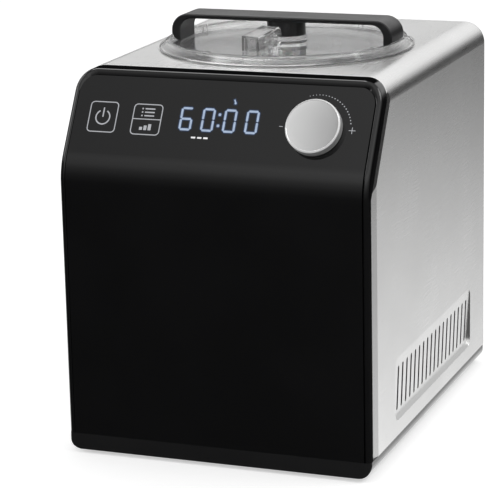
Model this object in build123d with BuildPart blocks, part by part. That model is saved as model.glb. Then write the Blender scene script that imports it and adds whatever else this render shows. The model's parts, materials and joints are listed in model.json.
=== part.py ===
from build123d import *
import os
from math import cos, hypot, pi, radians, sin, sqrt, tan

# Countertop ice cream maker with its own compressor.  Millimetres, +Z up, +Y to the rear.
# The origin is on the table, under the middle of the body.

os.makedirs("parts", exist_ok=True)

# ------------------------------------------------------------------ driving sizes: body
body_width = 240.0
body_depth = 312.0
foot_drop = 3.0  # the feet hold the base this far off the table
base_height = 12.5
upright_height = 205.4  # upright part of the front, above the base
slant_rise = 68.3  # height of the part that leans back
slant_angle = 31.65  # lean of that part, from upright
body_corner = 17.0  # rounding between the top and the sides
sheet = 1.2  # steel sheet
front_bend = 45.0  # rounding where the front starts to lean
joint_gap = 0.3  # gap between covers
clear = 0.3  # gap between pieces on different bodies
running = 0.06  # radial gap of a turning fit

# ------------------------------------------------------------------ driving sizes: front and base
frame_inset = 0.2  # the frame stands this far inside the sheet
frame_depth = 5.8
frame_lean_depth = 10.5
frame_rim = 5.0  # visible width of the frame around the panel
frame_edge = 3.8  # rounding of the frame's front edge
frame_ledge = 4.0  # ledge behind the panel
frame_sill = 8.0  # height of the bar behind the panel's foot
tongue_reach = 17.0
tongue_wall = 2.0
panel_thick = 3.0
bend_in = 2.0  # the sheet's front band turns in by this
band_upright = 12.0
band_leaning = 6.0
base_corner = 3.5  # between the sides, seen from above
base_round = 10.0  # along the lower edge of each side
base_cove = 4.0  # the same edge inside
base_wall = 3.0
lip_from_end = 30.0
lip_height = 6.0
lip_wall = 1.6
floor_vent = (60.0, 5.0)
floor_vent_pitch = 14.0
floor_vent_count = 7
floor_vent_place = (0.0, -20.0)
cover_thick = 2.5
cover_flange = 9.0
cover_edge = 1.2
rear_vent = (56.0, 4.0)
rear_vent_pitch = 10.0
rear_vent_count = 9
rear_vent_above_base = 104.5

# ------------------------------------------------------------------ driving sizes: side vents
vent_count = 18
vent_pitch = 10.965
vent_slot = (3.6, 35.0)
vent_from_front = 164.4
vent_above_base = 35.5
vent_panel = (208.0, 49.0)
vent_panel_rise = 0.6  # the dish sits this much above the slots' middle
vent_dish = 2.4
vent_dish_top = 0.4
vent_dish_ledge = 3.0
vent_panel_corner = 7.0

# ------------------------------------------------------------------ driving sizes: lid
well_from_front = 168.0
lid_radius = 99.0
lid_edge = 1.5
lid_slope = 7.8  # from the outer edge in to the crest
lid_crest_width = 2.2
lid_rise = 7.2  # crest above the steel top
lid_wall = 2.0
lid_disc_lift = 0.8
lid_skirt_radius = 83.0
lid_skirt_drop = 5.0  # below the steel top
lid_hub_radius = 16.0
lid_hub_height = 5.7
lid_socket_radius = 9.0
lid_socket_drop = 10.0
lid_tab_count = 8
lid_tab = (5.0, 3.0, 2.0)
gasket_width = 1.7
gasket_height = 3.0
handle_rise = 23.8  # strap's top above the steel top
leg_from_crest = 1.2
handle_width = 31.0
strap_thick = 3.4
leg_thick = 7.0
handle_bend = 13.0
handle_toe = 6.0
handle_edge = 0.8
post_radius = 15.0
hatch_front = 54.0  # from the lid's centre
hatch_pivot = 27.0  # from the lid's centre
hatch_pivot_height = 8.2
hatch_height = 11.6
hatch_slope = 6.4
hatch_half = 5.5
hatch_turn = 11.0  # its outer end is swung to -X, in degrees
hatch_wall = 1.6
hatch_knuckle = 3.0
flap_wall = 1.5
flap_plate = 2.0
flap_tail = 7.5
hatch_pin_radius = 1.0

# ------------------------------------------------------------------ driving sizes: bowl and drum
well_hole = 95.0
bowl_radius = 74.0
bowl_wall = 1.5
bowl_depth = 116.0
bowl_floor_round = 7.0
bowl_flange_radius = 84.0
bowl_drop = 7.0  # rim below the steel top
bowl_gap = 0.8
bowl_tube_radius = 11.0
bowl_tube_height = 42.0
drum_wall = 1.5
drum_flange_radius = 88.5
coil_tube = 8.0
coil_turns = 7
coil_pitch = 12.0
coil_lift = 14.0
sleeve_thick = 1.2  # sheet that the coil is brazed to
foam_wall = 17.5
foam_floor = 12.0
collar_wall = 12.0
bail_radius = 80.0
bail_width = 3.2
bail_thick = 2.0
bail_eye = 2.0
bail_pin_radius = 1.0
bail_lift = 2.2
paddle_hub_radius = 15.0
paddle_bore = 12.0
paddle_gap = 0.8
paddle_height = 96.0
paddle_thick = 3.4
paddle_bar = 9.0
paddle_pin_radius = 4.0

# ------------------------------------------------------------------ driving sizes: drive
spindle_radius = 7.5
spindle_hex = 12.0
spindle_hex_height = 12.0
bush_radius = 12.0
bush_flange = 18.0
bush_flange_thick = 3.0
seal_radius = 9.2
seal_height = 3.5
deck_thick = 4.0
deck_from_side = 11.0
deck_from_front = 55.0
deck_from_rear = 31.0
leg_radius = 6.0
gear_module = 1.5
tooth_rise = 0.85  # above the pitch line, in modules
tooth_drop = 1.25
tooth_fill = 0.8  # tooth width as a share of half the pitch
pressure_angle = 20.0
gear_face = 8.0
drive_teeth = 60
idler_small_teeth = 14
idler_big_teeth = 48
pinion_teeth = 12
idler_heading = -110.0
motor_heading = -75.0
gear_level = 5.0  # first gears above the housing floor
gear_step = 1.5
box_wall = 3.0
box_height = 26.0
axle_radius = 3.0
shaft_past_pinion = 1.0
lightening_holes = 6
motor_radius = 28.0
motor_height = 58.0

# ------------------------------------------------------------------ driving sizes: cooling
compressor_from_side = 80.0
compressor_from_rear = 76.0
compressor_radius = 48.0
compressor_gap = 5.4  # between the can and the gear box
compressor_flange = 3.0
mount_radius = 8.0
mount_height = 8.0
mount_ring = 52.0
plate_thick = 3.0
stub_radius = 3.6
stub_rise = 6.0
suction_stub_offset = (-22.0, 15.0)
discharge_stub_offset = (20.0, 25.0)
suction_heading = 126.8
return_heading = -53.3
pipe_radius = 3.0
pipe_bend = 8.0
condenser_from_side = 21.0
condenser_thick = 26.0
condenser_from_front = 94.0
condenser_from_rear = 72.0
condenser_height = 120.0
fin_count = 15
fin_thick = 1.0
flat_tubes = 5
flat_tube_thick = 2.0
header_radius = 5.0
header_stub = 8.0
upper_stub_drop = 28.0
lower_stub_rise = 14.0
crossing_gap = 13.0
fan_size = 92.0
fan_thick = 24.0
fan_from_condenser = 3.5
fan_bore = 44.0
fan_hub = 17.0
fan_blades = 7
fan_blade_tip = 41.0
fan_blade_chord = 17.0
fan_blade_pitch = 35.0
fan_web = 3.0
fan_gap = 1.0
fan_pin_radius = 2.0
drier_radius = 8.0
drier_span = (42.0, 108.0)
drier_from_condenser = (29.0, 20.0)

# ------------------------------------------------------------------ driving sizes: controls and power
knob_from_side = 46.4
knob_up_face = 40.8
knob_radius = 20.6
knob_height = 7.8
knob_lift = 0.4
knob_chamfer = 1.2
knob_dish = 0.6
encoder_size = 14.0
encoder_depth = 7.0
encoder_shaft_radius = 3.0
board_gap = 8.2  # between the panel and the control board
board_size = (196.0, 56.0)
board_thick = 1.6
display_size = (84.0, 34.0)
display_place = (-2.0, 43.0)
standoff_radius = 3.0
power_board_inset = (53.0, 53.0)
power_board_size = (50.0, 84.0)
power_lift = 6.0
transformer = (30.0, 26.0, 24.0)
capacitor_radius = 6.0
heat_sink = (36.0, 3.0, 20.0)
inlet_from_side = 60.0
inlet_above_base = 26.5
inlet_flange = (31.0, 25.0, 1.6)
inlet_body = (27.0, 20.0, 17.0)
inlet_mouth = (23.0, 16.0, 14.5)
blade_size = (2.0, 4.0, 11.0)
blade_spread = 7.0
blade_step = 2.0
foot_radius = 10.0
foot_seat = 2.0
foot_inset = (48.0, 22.0)
screw_radius = 1.8
screw_head = 3.4
screw_length = 8.0

# ------------------------------------------------------------------ derived levels and lines
lean = radians(slant_angle)
half_width = body_width / 2
front_y = -body_depth / 2
rear_y = body_depth / 2
base_top = foot_drop + base_height
base_floor = foot_drop + base_wall
kink_z = base_top + upright_height
body_top = kink_z + slant_rise
well_y = front_y + well_from_front
vent_mid_y = front_y + vent_from_front
vent_mid_z = base_top + vent_above_base
lid_crest_radius = lid_radius - lid_slope
handle_half = lid_crest_radius - leg_from_crest
knob_place = (half_width - knob_from_side, knob_up_face)
inlet_place = (half_width - inlet_from_side, base_top + inlet_above_base)
foot_grid = (body_width - 2 * foot_inset[0], body_depth - 2 * foot_inset[1])
face_plane = Plane(origin=(0, front_y, kink_z), x_dir=(1, 0, 0), z_dir=(0, -cos(lean), sin(lean)))
slope_plane = Plane(origin=(0, front_y, kink_z), x_dir=(1, 0, 0), z_dir=(0, sin(lean), cos(lean)))


def kink_at(depth):
    """Height where the front bends, at a depth behind its outer face."""
    return kink_z - depth * tan(lean / 2)


def face_y(depth, height):
    """Y of the bent front at a depth behind its outer face."""
    upright = front_y + depth
    leaning = front_y + (height - kink_z) * tan(lean) + depth / cos(lean)
    return max(upright, leaning)


def level(height):
    """Horizontal plane through the well's axis."""
    return Plane(origin=(0, well_y, height))


def upright_plane(y):
    """Plane facing the front at a given Y, with Z up."""
    return Plane(origin=(0, y, 0), x_dir=(1, 0, 0), z_dir=(0, -1, 0))


def keep(builder, name):
    """Label a finished piece and write it."""
    builder.part.label = name
    export_step(builder.part, f"parts/{name}.step")


def front_outline(inset, low):
    """Front view of the body, with its top corners rounded."""
    half = half_width - inset
    top = body_top - inset
    Polygon((-half, low), (-half, top), (half, top), (half, low), align=None)
    fillet(vertices().group_by(Axis.Y)[-1], body_corner - inset)


def bent_plate(near, far, inset, low):
    """Plate along the bent front, between two depths, cut to the front view."""
    with BuildPart() as plate:
        with BuildSketch(Plane.YZ):
            Polygon(
                (front_y + near, low),
                (front_y + near, kink_at(near)),
                (face_y(near, body_top), body_top),
                (face_y(far, body_top), body_top),
                (front_y + far, kink_at(far)),
                (front_y + far, low),
                align=None,
            )
            for depth in (near, far):
                if depth < front_bend / 2:
                    bend = vertices().filter_by(lambda v: abs(v.Y - kink_at(depth)) < 0.01)
                    fillet(bend, front_bend - depth)
        extrude(amount=half_width, both=True)
        with BuildSketch(Plane.XZ):
            front_outline(inset, low)
        extrude(amount=body_depth, both=True, mode=Mode.INTERSECT)
    return plate.part


# ------------------------------------------------------------------ steel shell
seam_turn = kink_z + (frame_depth - frame_lean_depth / cos(lean)) / tan(lean)
shell_rear = rear_y - cover_thick


def shell_form(inset, front_extra, rear):
    """Body-shaped solid whose front edges turn in; two of them make the sheet."""
    low = base_top - (0 if inset == 0 else sheet)
    start = frame_depth + joint_gap
    start_lean = frame_lean_depth + joint_gap
    side_x = half_width - inset
    run_out = 20.0
    turn_out = bend_in * run_out
    with BuildPart() as form:
        with BuildSketch(Plane.YZ):
            Polygon(
                (front_y + start - front_extra, low),
                (front_y + start - front_extra, seam_turn),
                (face_y(start_lean, body_top) - front_extra, body_top),
                (rear, body_top),
                (rear, low),
                align=None,
            )
        extrude(amount=half_width, both=True)
        with BuildSketch(Plane.XZ):
            front_outline(inset, low)
        extrude(amount=body_depth, both=True, mode=Mode.INTERSECT)
        for side in (-1, 1):
            edge = front_y + start
            with BuildSketch(Plane.XY.offset(low)):
                Polygon(
                    (side * side_x, edge + band_upright),
                    (side * (side_x - bend_in - turn_out / band_upright), edge - run_out),
                    (side * (side_x + run_out), edge - run_out),
                    (side * (side_x + run_out), edge + band_upright),
                    align=None,
                )
            extrude(amount=body_top, mode=Mode.SUBTRACT)
            with BuildSketch(slope_plane):
                Polygon(
                    (side * side_x, start_lean + band_leaning),
                    (side * (side_x - bend_in - turn_out / band_leaning), start_lean - run_out),
                    (side * (side_x + run_out), start_lean - run_out),
                    (side * (side_x + run_out), start_lean + band_leaning),
                    align=None,
                )
            extrude(amount=slant_rise * 2, both=True, mode=Mode.SUBTRACT)
    return form.part


dish_low = vent_mid_z + vent_panel_rise - vent_panel[1] / 2
dish_high = dish_low + vent_panel[1]
with BuildPart() as vent_dishes:
    for side in (-1, 1):
        with BuildSketch(upright_plane(vent_mid_y)):
            Polygon(
                (side * (half_width + sheet), dish_low),
                (side * half_width, dish_low),
                (side * (half_width - vent_dish), dish_low + vent_dish_ledge),
                (side * (half_width - vent_dish_top), dish_high),
                (side * (half_width + sheet), dish_high),
                align=None,
            )
        extrude(amount=vent_panel[0] / 2, both=True)
    with BuildSketch(Plane.YZ):
        with Locations((vent_mid_y, vent_mid_z + vent_panel_rise)):
            RectangleRounded(vent_panel[0], vent_panel[1], vent_panel_corner)
    extrude(amount=half_width + sheet, both=True, mode=Mode.INTERSECT)

with BuildPart() as steel_shell:
    add(shell_form(0, 0, shell_rear))
    add(shell_form(sheet, body_depth / 4, rear_y), mode=Mode.SUBTRACT)
    for side in (-1, 1):
        with Locations((side * (half_width - sheet - vent_dish / 2), vent_mid_y, vent_mid_z + vent_panel_rise)):
            Box(vent_dish, vent_panel[0] + 4 * sheet, vent_panel[1] + 2 * sheet)
    add(vent_dishes.part, mode=Mode.SUBTRACT)
    with BuildSketch(Plane.YZ):
        with Locations((vent_mid_y, vent_mid_z)):
            with GridLocations(vent_pitch, 0, vent_count, 1):
                SlotOverall(vent_slot[1], vent_slot[0], rotation=90)
    extrude(amount=half_width + sheet, both=True, mode=Mode.SUBTRACT)
    with BuildSketch(level(body_top - 2 * sheet)):
        Circle(well_hole)
    extrude(amount=3 * sheet, mode=Mode.SUBTRACT)
keep(steel_shell, "steel_shell")

# ------------------------------------------------------------------ front frame and panel
panel_inset = frame_inset + frame_rim
with BuildPart() as front_frame:
    with BuildSketch(Plane.YZ):
        Polygon(
            (front_y, base_top),
            (front_y, kink_z),
            (face_y(0, body_top), body_top),
            (face_y(frame_lean_depth, body_top), body_top),
            (front_y + frame_depth, seam_turn),
            (front_y + frame_depth, base_top),
            align=None,
        )
        fillet(vertices().filter_by(lambda v: abs(v.Y - kink_z) < 0.01), front_bend)
    extrude(amount=half_width, both=True)
    with BuildSketch(Plane.XZ):
        front_outline(frame_inset, base_top)
    extrude(amount=body_depth, both=True, mode=Mode.INTERSECT)
    front_faces = faces().filter_by(lambda f: f.normal_at().Y < -0.5)
    outer_edges = front_faces.edges().filter_by(lambda e: e.center().Z > base_top + 1).filter_by(
        lambda e: abs(e.center().X) > half_width / 2 or e.center().Z > body_top - 1 - frame_inset
    )
    fillet(outer_edges, frame_edge)
    add(bent_plate(-panel_thick, panel_thick, panel_inset - joint_gap, base_top), mode=Mode.SUBTRACT)
    add(bent_plate(-panel_thick, tongue_reach, panel_inset + frame_ledge, base_top + frame_sill), mode=Mode.SUBTRACT)
tongue_inset = bend_in + sheet + joint_gap
with BuildPart() as frame_tongue:
    add(bent_plate(frame_depth - tongue_wall, tongue_reach - panel_thick, tongue_inset, base_top))
    add(
        bent_plate(-panel_thick, tongue_reach, tongue_inset + tongue_wall, base_top - panel_thick),
        mode=Mode.SUBTRACT,
    )
with BuildPart() as front_frame_whole:
    add(front_frame.part)
    add(frame_tongue.part)
keep(front_frame_whole, "front_frame")

with BuildPart() as front_panel:
    add(bent_plate(0, panel_thick, panel_inset, base_top))
    with BuildSketch(face_plane.offset(-2 * panel_thick)):
        with Locations(knob_place):
            Circle(encoder_shaft_radius + joint_gap)
    extrude(amount=3 * panel_thick, mode=Mode.SUBTRACT)
keep(front_panel, "front_panel")

# ------------------------------------------------------------------ base tray and feet
lip_x = half_width - sheet - joint_gap
lip_length = body_depth - 2 * lip_from_end


def base_outline(inset, low, rounding):
    """Front view of the tray, with its lower corners rounded."""
    half = half_width - inset
    Polygon((-half, low), (-half, base_top), (half, base_top), (half, low), align=None)
    fillet(vertices().group_by(Axis.Y)[0], rounding)


with BuildPart() as base_tray:
    with BuildSketch(Plane.XY.offset(foot_drop)):
        RectangleRounded(body_width, body_depth, base_corner)
    extrude(amount=base_height)
    with BuildSketch(Plane.XZ):
        base_outline(0, foot_drop, base_round)
    extrude(amount=body_depth, both=True, mode=Mode.INTERSECT)
    with BuildSketch(Plane.XZ):
        base_outline(base_wall, base_floor, base_cove)
    extrude(amount=body_depth / 2 - base_wall, both=True, mode=Mode.SUBTRACT)
    for side in (-1, 1):
        with Locations((side * (lip_x - lip_wall / 2), 0, base_top - base_wall + (lip_height + base_wall) / 2)):
            Box(lip_wall, lip_length, lip_height + base_wall)
        with Locations((side * (lip_x - lip_wall / 2 + joint_gap / 2), 0, base_top - base_wall / 2)):
            Box(lip_wall + joint_gap, lip_length, base_wall)
    with BuildSketch(Plane.XY.offset(foot_drop)):
        with GridLocations(*foot_grid, 2, 2):
            Circle(foot_radius + joint_gap)
    extrude(amount=foot_seat, mode=Mode.SUBTRACT)
    with BuildSketch(Plane.XY):
        with Locations(floor_vent_place):
            with GridLocations(0, floor_vent_pitch, 1, floor_vent_count):
                SlotOverall(*floor_vent)
    extrude(amount=base_top, mode=Mode.SUBTRACT)
keep(base_tray, "base_tray")

with BuildPart() as feet:
    with BuildSketch(Plane.XY):
        with GridLocations(*foot_grid, 2, 2):
            Circle(foot_radius)
    extrude(amount=foot_drop + foot_seat)
    chamfer(edges().filter_by(GeomType.CIRCLE).group_by(Axis.Z)[0], foot_drop / 4)
keep(feet, "feet")

# ------------------------------------------------------------------ rear cover, its screws and the inlet
flange_inset = sheet + joint_gap
screw_spots = [
    (side * (half_width - body_corner), height)
    for side in (-1, 1)
    for height in (base_top + body_corner, (base_top + body_top) / 2, body_top - body_corner)
]
with BuildPart() as rear_cover:
    with BuildSketch(upright_plane(rear_y)):
        front_outline(frame_inset, base_top)
    extrude(amount=cover_thick)
    chamfer(faces().sort_by(Axis.Y)[-1].edges(), cover_edge)
    with BuildSketch(upright_plane(shell_rear)):
        front_outline(flange_inset, base_top)
    extrude(amount=cover_flange)
    with BuildSketch(upright_plane(shell_rear)):
        front_outline(flange_inset + tongue_wall, base_top)
    extrude(amount=cover_flange, mode=Mode.SUBTRACT)
    with BuildSketch(Plane.XZ.offset(-rear_y)):
        with Locations(*[(side * half_width / 3, base_top + rear_vent_above_base) for side in (-1, 1)]):
            with GridLocations(0, rear_vent_pitch, 1, rear_vent_count):
                SlotOverall(*rear_vent)
        with Locations(inlet_place):
            Rectangle(inlet_body[0] + 2 * joint_gap, inlet_body[1] + 2 * joint_gap)
    extrude(amount=2 * cover_thick, both=True, mode=Mode.SUBTRACT)
    with Locations(*[Plane(origin=(x, rear_y, z), z_dir=(0, 1, 0)) for x, z in screw_spots]):
        CounterSinkHole(screw_radius + joint_gap, screw_head + joint_gap, cover_thick)
keep(rear_cover, "rear_cover")


def countersunk_screws(planes, name):
    """Flat-headed screws, each set flush at its plane and running in behind it."""
    with BuildPart() as screws:
        for plane in planes:
            with BuildSketch(plane):
                Circle(screw_head)
            with BuildSketch(plane.offset(-(screw_head - screw_radius))):
                Circle(screw_radius)
            loft()
            with BuildSketch(plane.offset(-(screw_head - screw_radius))):
                Circle(screw_radius)
            extrude(amount=-screw_length)
    keep(screws, name)


countersunk_screws([Plane(origin=(x, rear_y, z), z_dir=(0, 1, 0)) for x, z in screw_spots], "rear_screws")

inlet_plane = Plane(origin=(inlet_place[0], rear_y, inlet_place[1]), x_dir=(-1, 0, 0), z_dir=(0, 1, 0))
with BuildPart() as power_inlet:
    with BuildSketch(inlet_plane.offset(-inlet_body[2])):
        Rectangle(inlet_body[0], inlet_body[1])
    extrude(amount=inlet_body[2])
    with BuildSketch(inlet_plane.offset(-inlet_mouth[2])):
        Rectangle(inlet_mouth[0], inlet_mouth[1])
        chamfer(vertices().group_by(Axis.Y)[-1], inlet_flange[2] * 2)
    extrude(amount=inlet_mouth[2], mode=Mode.SUBTRACT)
keep(power_inlet, "power_inlet")

with BuildPart() as inlet_pins:
    with BuildSketch(inlet_plane.offset(-inlet_mouth[2])):
        with Locations((-blade_spread, -blade_step), (0, blade_step), (blade_spread, -blade_step)):
            Rectangle(blade_size[0], blade_size[1])
    extrude(amount=blade_size[2])
keep(inlet_pins, "inlet_pins")

# ------------------------------------------------------------------ levels of the cooling stack
bowl_rim = body_top - bowl_drop
bowl_floor = bowl_rim - bowl_depth
bowl_under = bowl_floor - bowl_wall
bowl_outer = bowl_radius + bowl_wall
drum_rim = bowl_rim - bowl_wall - clear
drum_floor = bowl_under - bowl_gap
drum_under = drum_floor - drum_wall
drum_radius = bowl_outer + bowl_gap
drum_outer = drum_radius + drum_wall
coil_middle = drum_outer + joint_gap + coil_tube / 2
coil_low = drum_under + coil_lift
foam_inner = coil_middle + coil_tube / 2 + joint_gap
foam_outer = foam_inner + foam_wall
foam_top = drum_rim - drum_wall
foam_under = drum_under - foam_floor
deck_top = foam_under
deck_under = deck_top - deck_thick
box_top = deck_under
box_lid_under = box_top - box_wall
box_floor = box_lid_under - box_height
box_under = box_floor - box_wall
bush_bore = spindle_radius + running


def on_ring(radius, heading):
    """Place on a circle about the well's axis, heading in degrees from +X."""
    return (radius * cos(radians(heading)), radius * sin(radians(heading)))


suction_riser = on_ring(coil_middle, suction_heading)
return_riser = on_ring(coil_middle, return_heading)
riser_bore = pipe_radius + joint_gap

well_section = upright_plane(well_y)
well_axis = Axis((0, well_y, 0), (0, 0, 1))


def turned(points, rounds=()):
    """Solid of revolution about the well's axis; rounds gives (corner, radius) pairs."""
    with BuildPart() as form:
        with BuildSketch(well_section):
            Polygon(*points, align=None)
            for (x, y), radius in rounds:
                fillet(vertices().filter_by(lambda v: hypot(v.X - x, v.Y - y) < 0.01), radius)
        revolve(axis=well_axis)
    return form.part


# ------------------------------------------------------------------ bowl and its bail
bail_z = bowl_rim + bail_lift
lug_x = bowl_radius + bail_width / 4
lug_out = bail_radius - bail_width - joint_gap
pin_end = bail_radius + joint_gap
with BuildPart() as ice_bowl:
    add(
        turned(
            [
                (bowl_tube_radius - bowl_wall, bowl_under),
                (bowl_tube_radius - bowl_wall, bowl_floor + bowl_tube_height),
                (bowl_tube_radius, bowl_floor + bowl_tube_height),
                (bowl_tube_radius, bowl_floor),
                (bowl_radius, bowl_floor),
                (bowl_radius, bowl_rim),
                (bowl_flange_radius, bowl_rim),
                (bowl_flange_radius, bowl_rim - bowl_wall),
                (bowl_outer, bowl_rim - bowl_wall),
                (bowl_outer, bowl_under),
            ],
            [
                ((bowl_radius, bowl_floor), bowl_floor_round),
                ((bowl_outer, bowl_under), bowl_floor_round + bowl_wall),
            ],
        )
    )
    for side in (-1, 1):
        with BuildSketch(Plane(origin=(side * lug_x, well_y, 0), x_dir=(0, 1, 0), z_dir=(1, 0, 0))):
            with Locations((0, bail_z)):
                Circle(bail_eye)
            with Locations((0, (bail_z + bowl_rim - bowl_wall) / 2)):
                Rectangle(2 * bail_eye, bail_z - bowl_rim + bowl_wall)
        extrude(amount=side * (lug_out - lug_x))
        with BuildSketch(Plane(origin=(side * lug_x, well_y, 0), x_dir=(0, 1, 0), z_dir=(1, 0, 0))):
            with Locations((0, bail_z)):
                Circle(bail_pin_radius)
        extrude(amount=side * (lug_out - lug_x), mode=Mode.SUBTRACT)
keep(ice_bowl, "ice_bowl")

with BuildPart() as bail_pins:
    for side in (-1, 1):
        with BuildSketch(Plane(origin=(side * lug_x, well_y, 0), x_dir=(0, 1, 0), z_dir=(1, 0, 0))):
            with Locations((0, bail_z)):
                Circle(bail_pin_radius)
        extrude(amount=side * (pin_end - lug_x))
keep(bail_pins, "bail_pins")

with BuildPart() as bowl_bail:
    with BuildSketch(level(bail_z - bail_thick / 2)):
        Circle(bail_radius)
        Circle(bail_radius - bail_width, mode=Mode.SUBTRACT)
        with Locations((0, -bail_radius)):
            Rectangle(2 * bail_radius, 2 * bail_radius, mode=Mode.SUBTRACT)
    extrude(amount=bail_thick)
    for side in (-1, 1):
        eye_plane = Plane(
            origin=(side * (bail_radius - bail_width), well_y, bail_z), x_dir=(0, 1, 0), z_dir=(1, 0, 0)
        )
        with BuildSketch(eye_plane):
            Circle(bail_eye)
        extrude(amount=side * bail_width)
        with BuildSketch(eye_plane.offset(-side * bail_width)):
            Circle(bail_pin_radius + running)
        extrude(amount=side * 3 * bail_width, mode=Mode.SUBTRACT)
keep(bowl_bail, "bowl_bail")

# ------------------------------------------------------------------ mixing paddle
paddle_low = bowl_floor + paddle_gap
paddle_reach = bowl_radius - paddle_gap
hex_low = bowl_floor + bowl_tube_height + paddle_gap + bowl_wall
hex_high = hex_low + spindle_hex_height
hub_top = hex_high + 2 * paddle_gap + bowl_floor_round
lid_disc_under = body_top + clear + lid_disc_lift
lid_disc_top = lid_disc_under + lid_wall
socket_top = lid_disc_under - lid_wall / 2
blade_top = paddle_low + paddle_height
hub_side = paddle_hub_radius - bowl_wall
with BuildPart() as mixing_paddle:
    for side in (-1, 1):
        with BuildSketch(well_section):
            Polygon(
                (side * hub_side, paddle_low),
                (side * (paddle_reach - bowl_floor_round), paddle_low),
                (side * paddle_reach, paddle_low + bowl_floor_round),
                (side * paddle_reach, blade_top),
                (side * (paddle_reach - paddle_bar), blade_top),
                (side * hub_side, hub_top - paddle_bar / 2),
                align=None,
            )
            Polygon(
                (side * (paddle_hub_radius + paddle_bar / 2), paddle_low + paddle_bar),
                (side * (paddle_reach - paddle_bar), paddle_low + 1.6 * paddle_bar),
                (side * (paddle_reach - paddle_bar), (blade_top + paddle_low) / 2 - paddle_bar / 2),
                (side * (paddle_hub_radius + paddle_bar / 2), paddle_low + 2.4 * paddle_bar),
                align=None,
                mode=Mode.SUBTRACT,
            )
            Polygon(
                (side * (paddle_hub_radius + paddle_bar / 2), paddle_low + 3.6 * paddle_bar),
                (side * (paddle_reach - paddle_bar), (blade_top + paddle_low) / 2 + paddle_bar),
                (side * (paddle_reach - paddle_bar), blade_top - 1.4 * paddle_bar),
                (side * (paddle_hub_radius + paddle_bar / 2), hub_top - 1.6 * paddle_bar),
                align=None,
                mode=Mode.SUBTRACT,
            )
        extrude(amount=paddle_thick / 2, both=True)
    with BuildSketch(level(paddle_low)):
        Circle(paddle_hub_radius)
    extrude(amount=hub_top - paddle_low)
    chamfer(edges().filter_by(GeomType.CIRCLE).sort_by(Axis.Z)[-1], paddle_bar / 3)
    with BuildSketch(level(hub_top)):
        Circle(paddle_pin_radius)
    extrude(amount=socket_top - paddle_gap - hub_top)
    with BuildSketch(level(paddle_low)):
        Circle(paddle_bore)
    extrude(amount=hex_low - paddle_low, mode=Mode.SUBTRACT)
    with BuildSketch(level(paddle_low)):
        RegularPolygon(spindle_hex / 2 + clear, 6, major_radius=False)
    extrude(amount=hex_high + paddle_gap - paddle_low, mode=Mode.SUBTRACT)
keep(mixing_paddle, "mixing_paddle")

# ------------------------------------------------------------------ cooling drum, coil, foam and collar
with BuildPart() as cooling_drum:
    add(
        turned(
            [
                (bush_radius, drum_under),
                (bush_radius, drum_floor),
                (drum_radius, drum_floor),
                (drum_radius, drum_rim),
                (drum_flange_radius, drum_rim),
                (drum_flange_radius, foam_top),
                (drum_outer, foam_top),
                (drum_outer, drum_under),
            ],
            [
                ((drum_radius, drum_floor), bowl_floor_round + bowl_wall + bowl_gap),
                ((drum_outer, drum_under), bowl_floor_round + bowl_wall + bowl_gap + drum_wall),
            ],
        )
    )
keep(cooling_drum, "cooling_drum")

with BuildPart() as evaporator_coil:
    with BuildSketch(well_section):
        with Locations(*[(coil_middle, coil_low + coil_tube / 2 + k * coil_pitch) for k in range(coil_turns)]):
            Circle(coil_tube / 2)
        with Locations((drum_outer + joint_gap, coil_low)):
            Rectangle(sleeve_thick, (coil_turns - 1) * coil_pitch + coil_tube, align=(Align.MIN, Align.MIN))
    revolve(axis=well_axis)
    for place in (suction_riser, return_riser):
        with BuildSketch(level(coil_low)):
            with Locations(place):
                Circle(pipe_radius)
        extrude(amount=coil_tube / 2)
keep(evaporator_coil, "evaporator_coil")

with BuildPart() as insulation_jacket:
    add(
        turned(
            [
                (bush_flange + joint_gap, foam_under),
                (bush_flange + joint_gap, drum_under),
                (foam_inner, drum_under),
                (foam_inner, foam_top),
                (foam_outer, foam_top),
                (foam_outer, foam_under),
            ]
        )
    )
    with BuildSketch(level(foam_under)):
        with Locations(suction_riser, return_riser):
            Circle(riser_bore)
    extrude(amount=foam_floor, mode=Mode.SUBTRACT)
keep(insulation_jacket, "insulation_jacket")

collar_inner = bowl_flange_radius + 1.0
collar_top = body_top - sheet - joint_gap
with BuildPart() as well_collar:
    add(
        turned(
            [
                (collar_inner, drum_rim),
                (collar_inner, body_top),
                (well_hole - joint_gap, body_top),
                (well_hole - joint_gap, collar_top),
                (collar_inner + collar_wall + bowl_wall, collar_top),
                (collar_inner + collar_wall + bowl_wall, foam_top),
                (drum_flange_radius + joint_gap, foam_top),
                (drum_flange_radius + joint_gap, drum_rim),
            ]
        )
    )
keep(well_collar, "well_collar")

# ------------------------------------------------------------------ lid
lid_base = body_top + clear
crest_z = body_top + lid_rise
skirt_low = body_top - lid_skirt_drop
hub_z = lid_disc_top + lid_hub_height
hinge_z = lid_disc_top + hatch_pivot_height
hatch_rise = tan(radians(hatch_slope))
hatch_way = radians(hatch_turn)
hatch_across = (cos(hatch_way), -sin(hatch_way), 0)
hatch_along = (sin(hatch_way), cos(hatch_way), 0)
hatch_side = Plane(origin=(0, well_y, 0), x_dir=hatch_along, z_dir=hatch_across)


def hatch_block(front, rear, grow, low, high):
    """Block along the hatch, between two distances from the lid's axis, grown sideways."""
    with BuildPart() as block:
        with BuildSketch(Plane(origin=(0, well_y, low), x_dir=hatch_across)):
            half = hatch_half + grow
            Polygon((-half, -front), (-half, -rear), (half, -rear), (half, -front), align=None)
        extrude(amount=high - low)
    return block.part


def roof_cut(drop):
    """Everything above the hatch's sloping top, lowered by a drop."""
    with BuildPart() as cut:
        start_z = lid_disc_top + hatch_height - drop
        with BuildSketch(hatch_side):
            Polygon(
                (-hatch_front, start_z),
                (0, start_z + hatch_front * hatch_rise),
                (0, start_z + hatch_front),
                (-hatch_front, start_z + hatch_front),
                align=None,
            )
        extrude(amount=hatch_front, both=True)
    return cut.part


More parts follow.
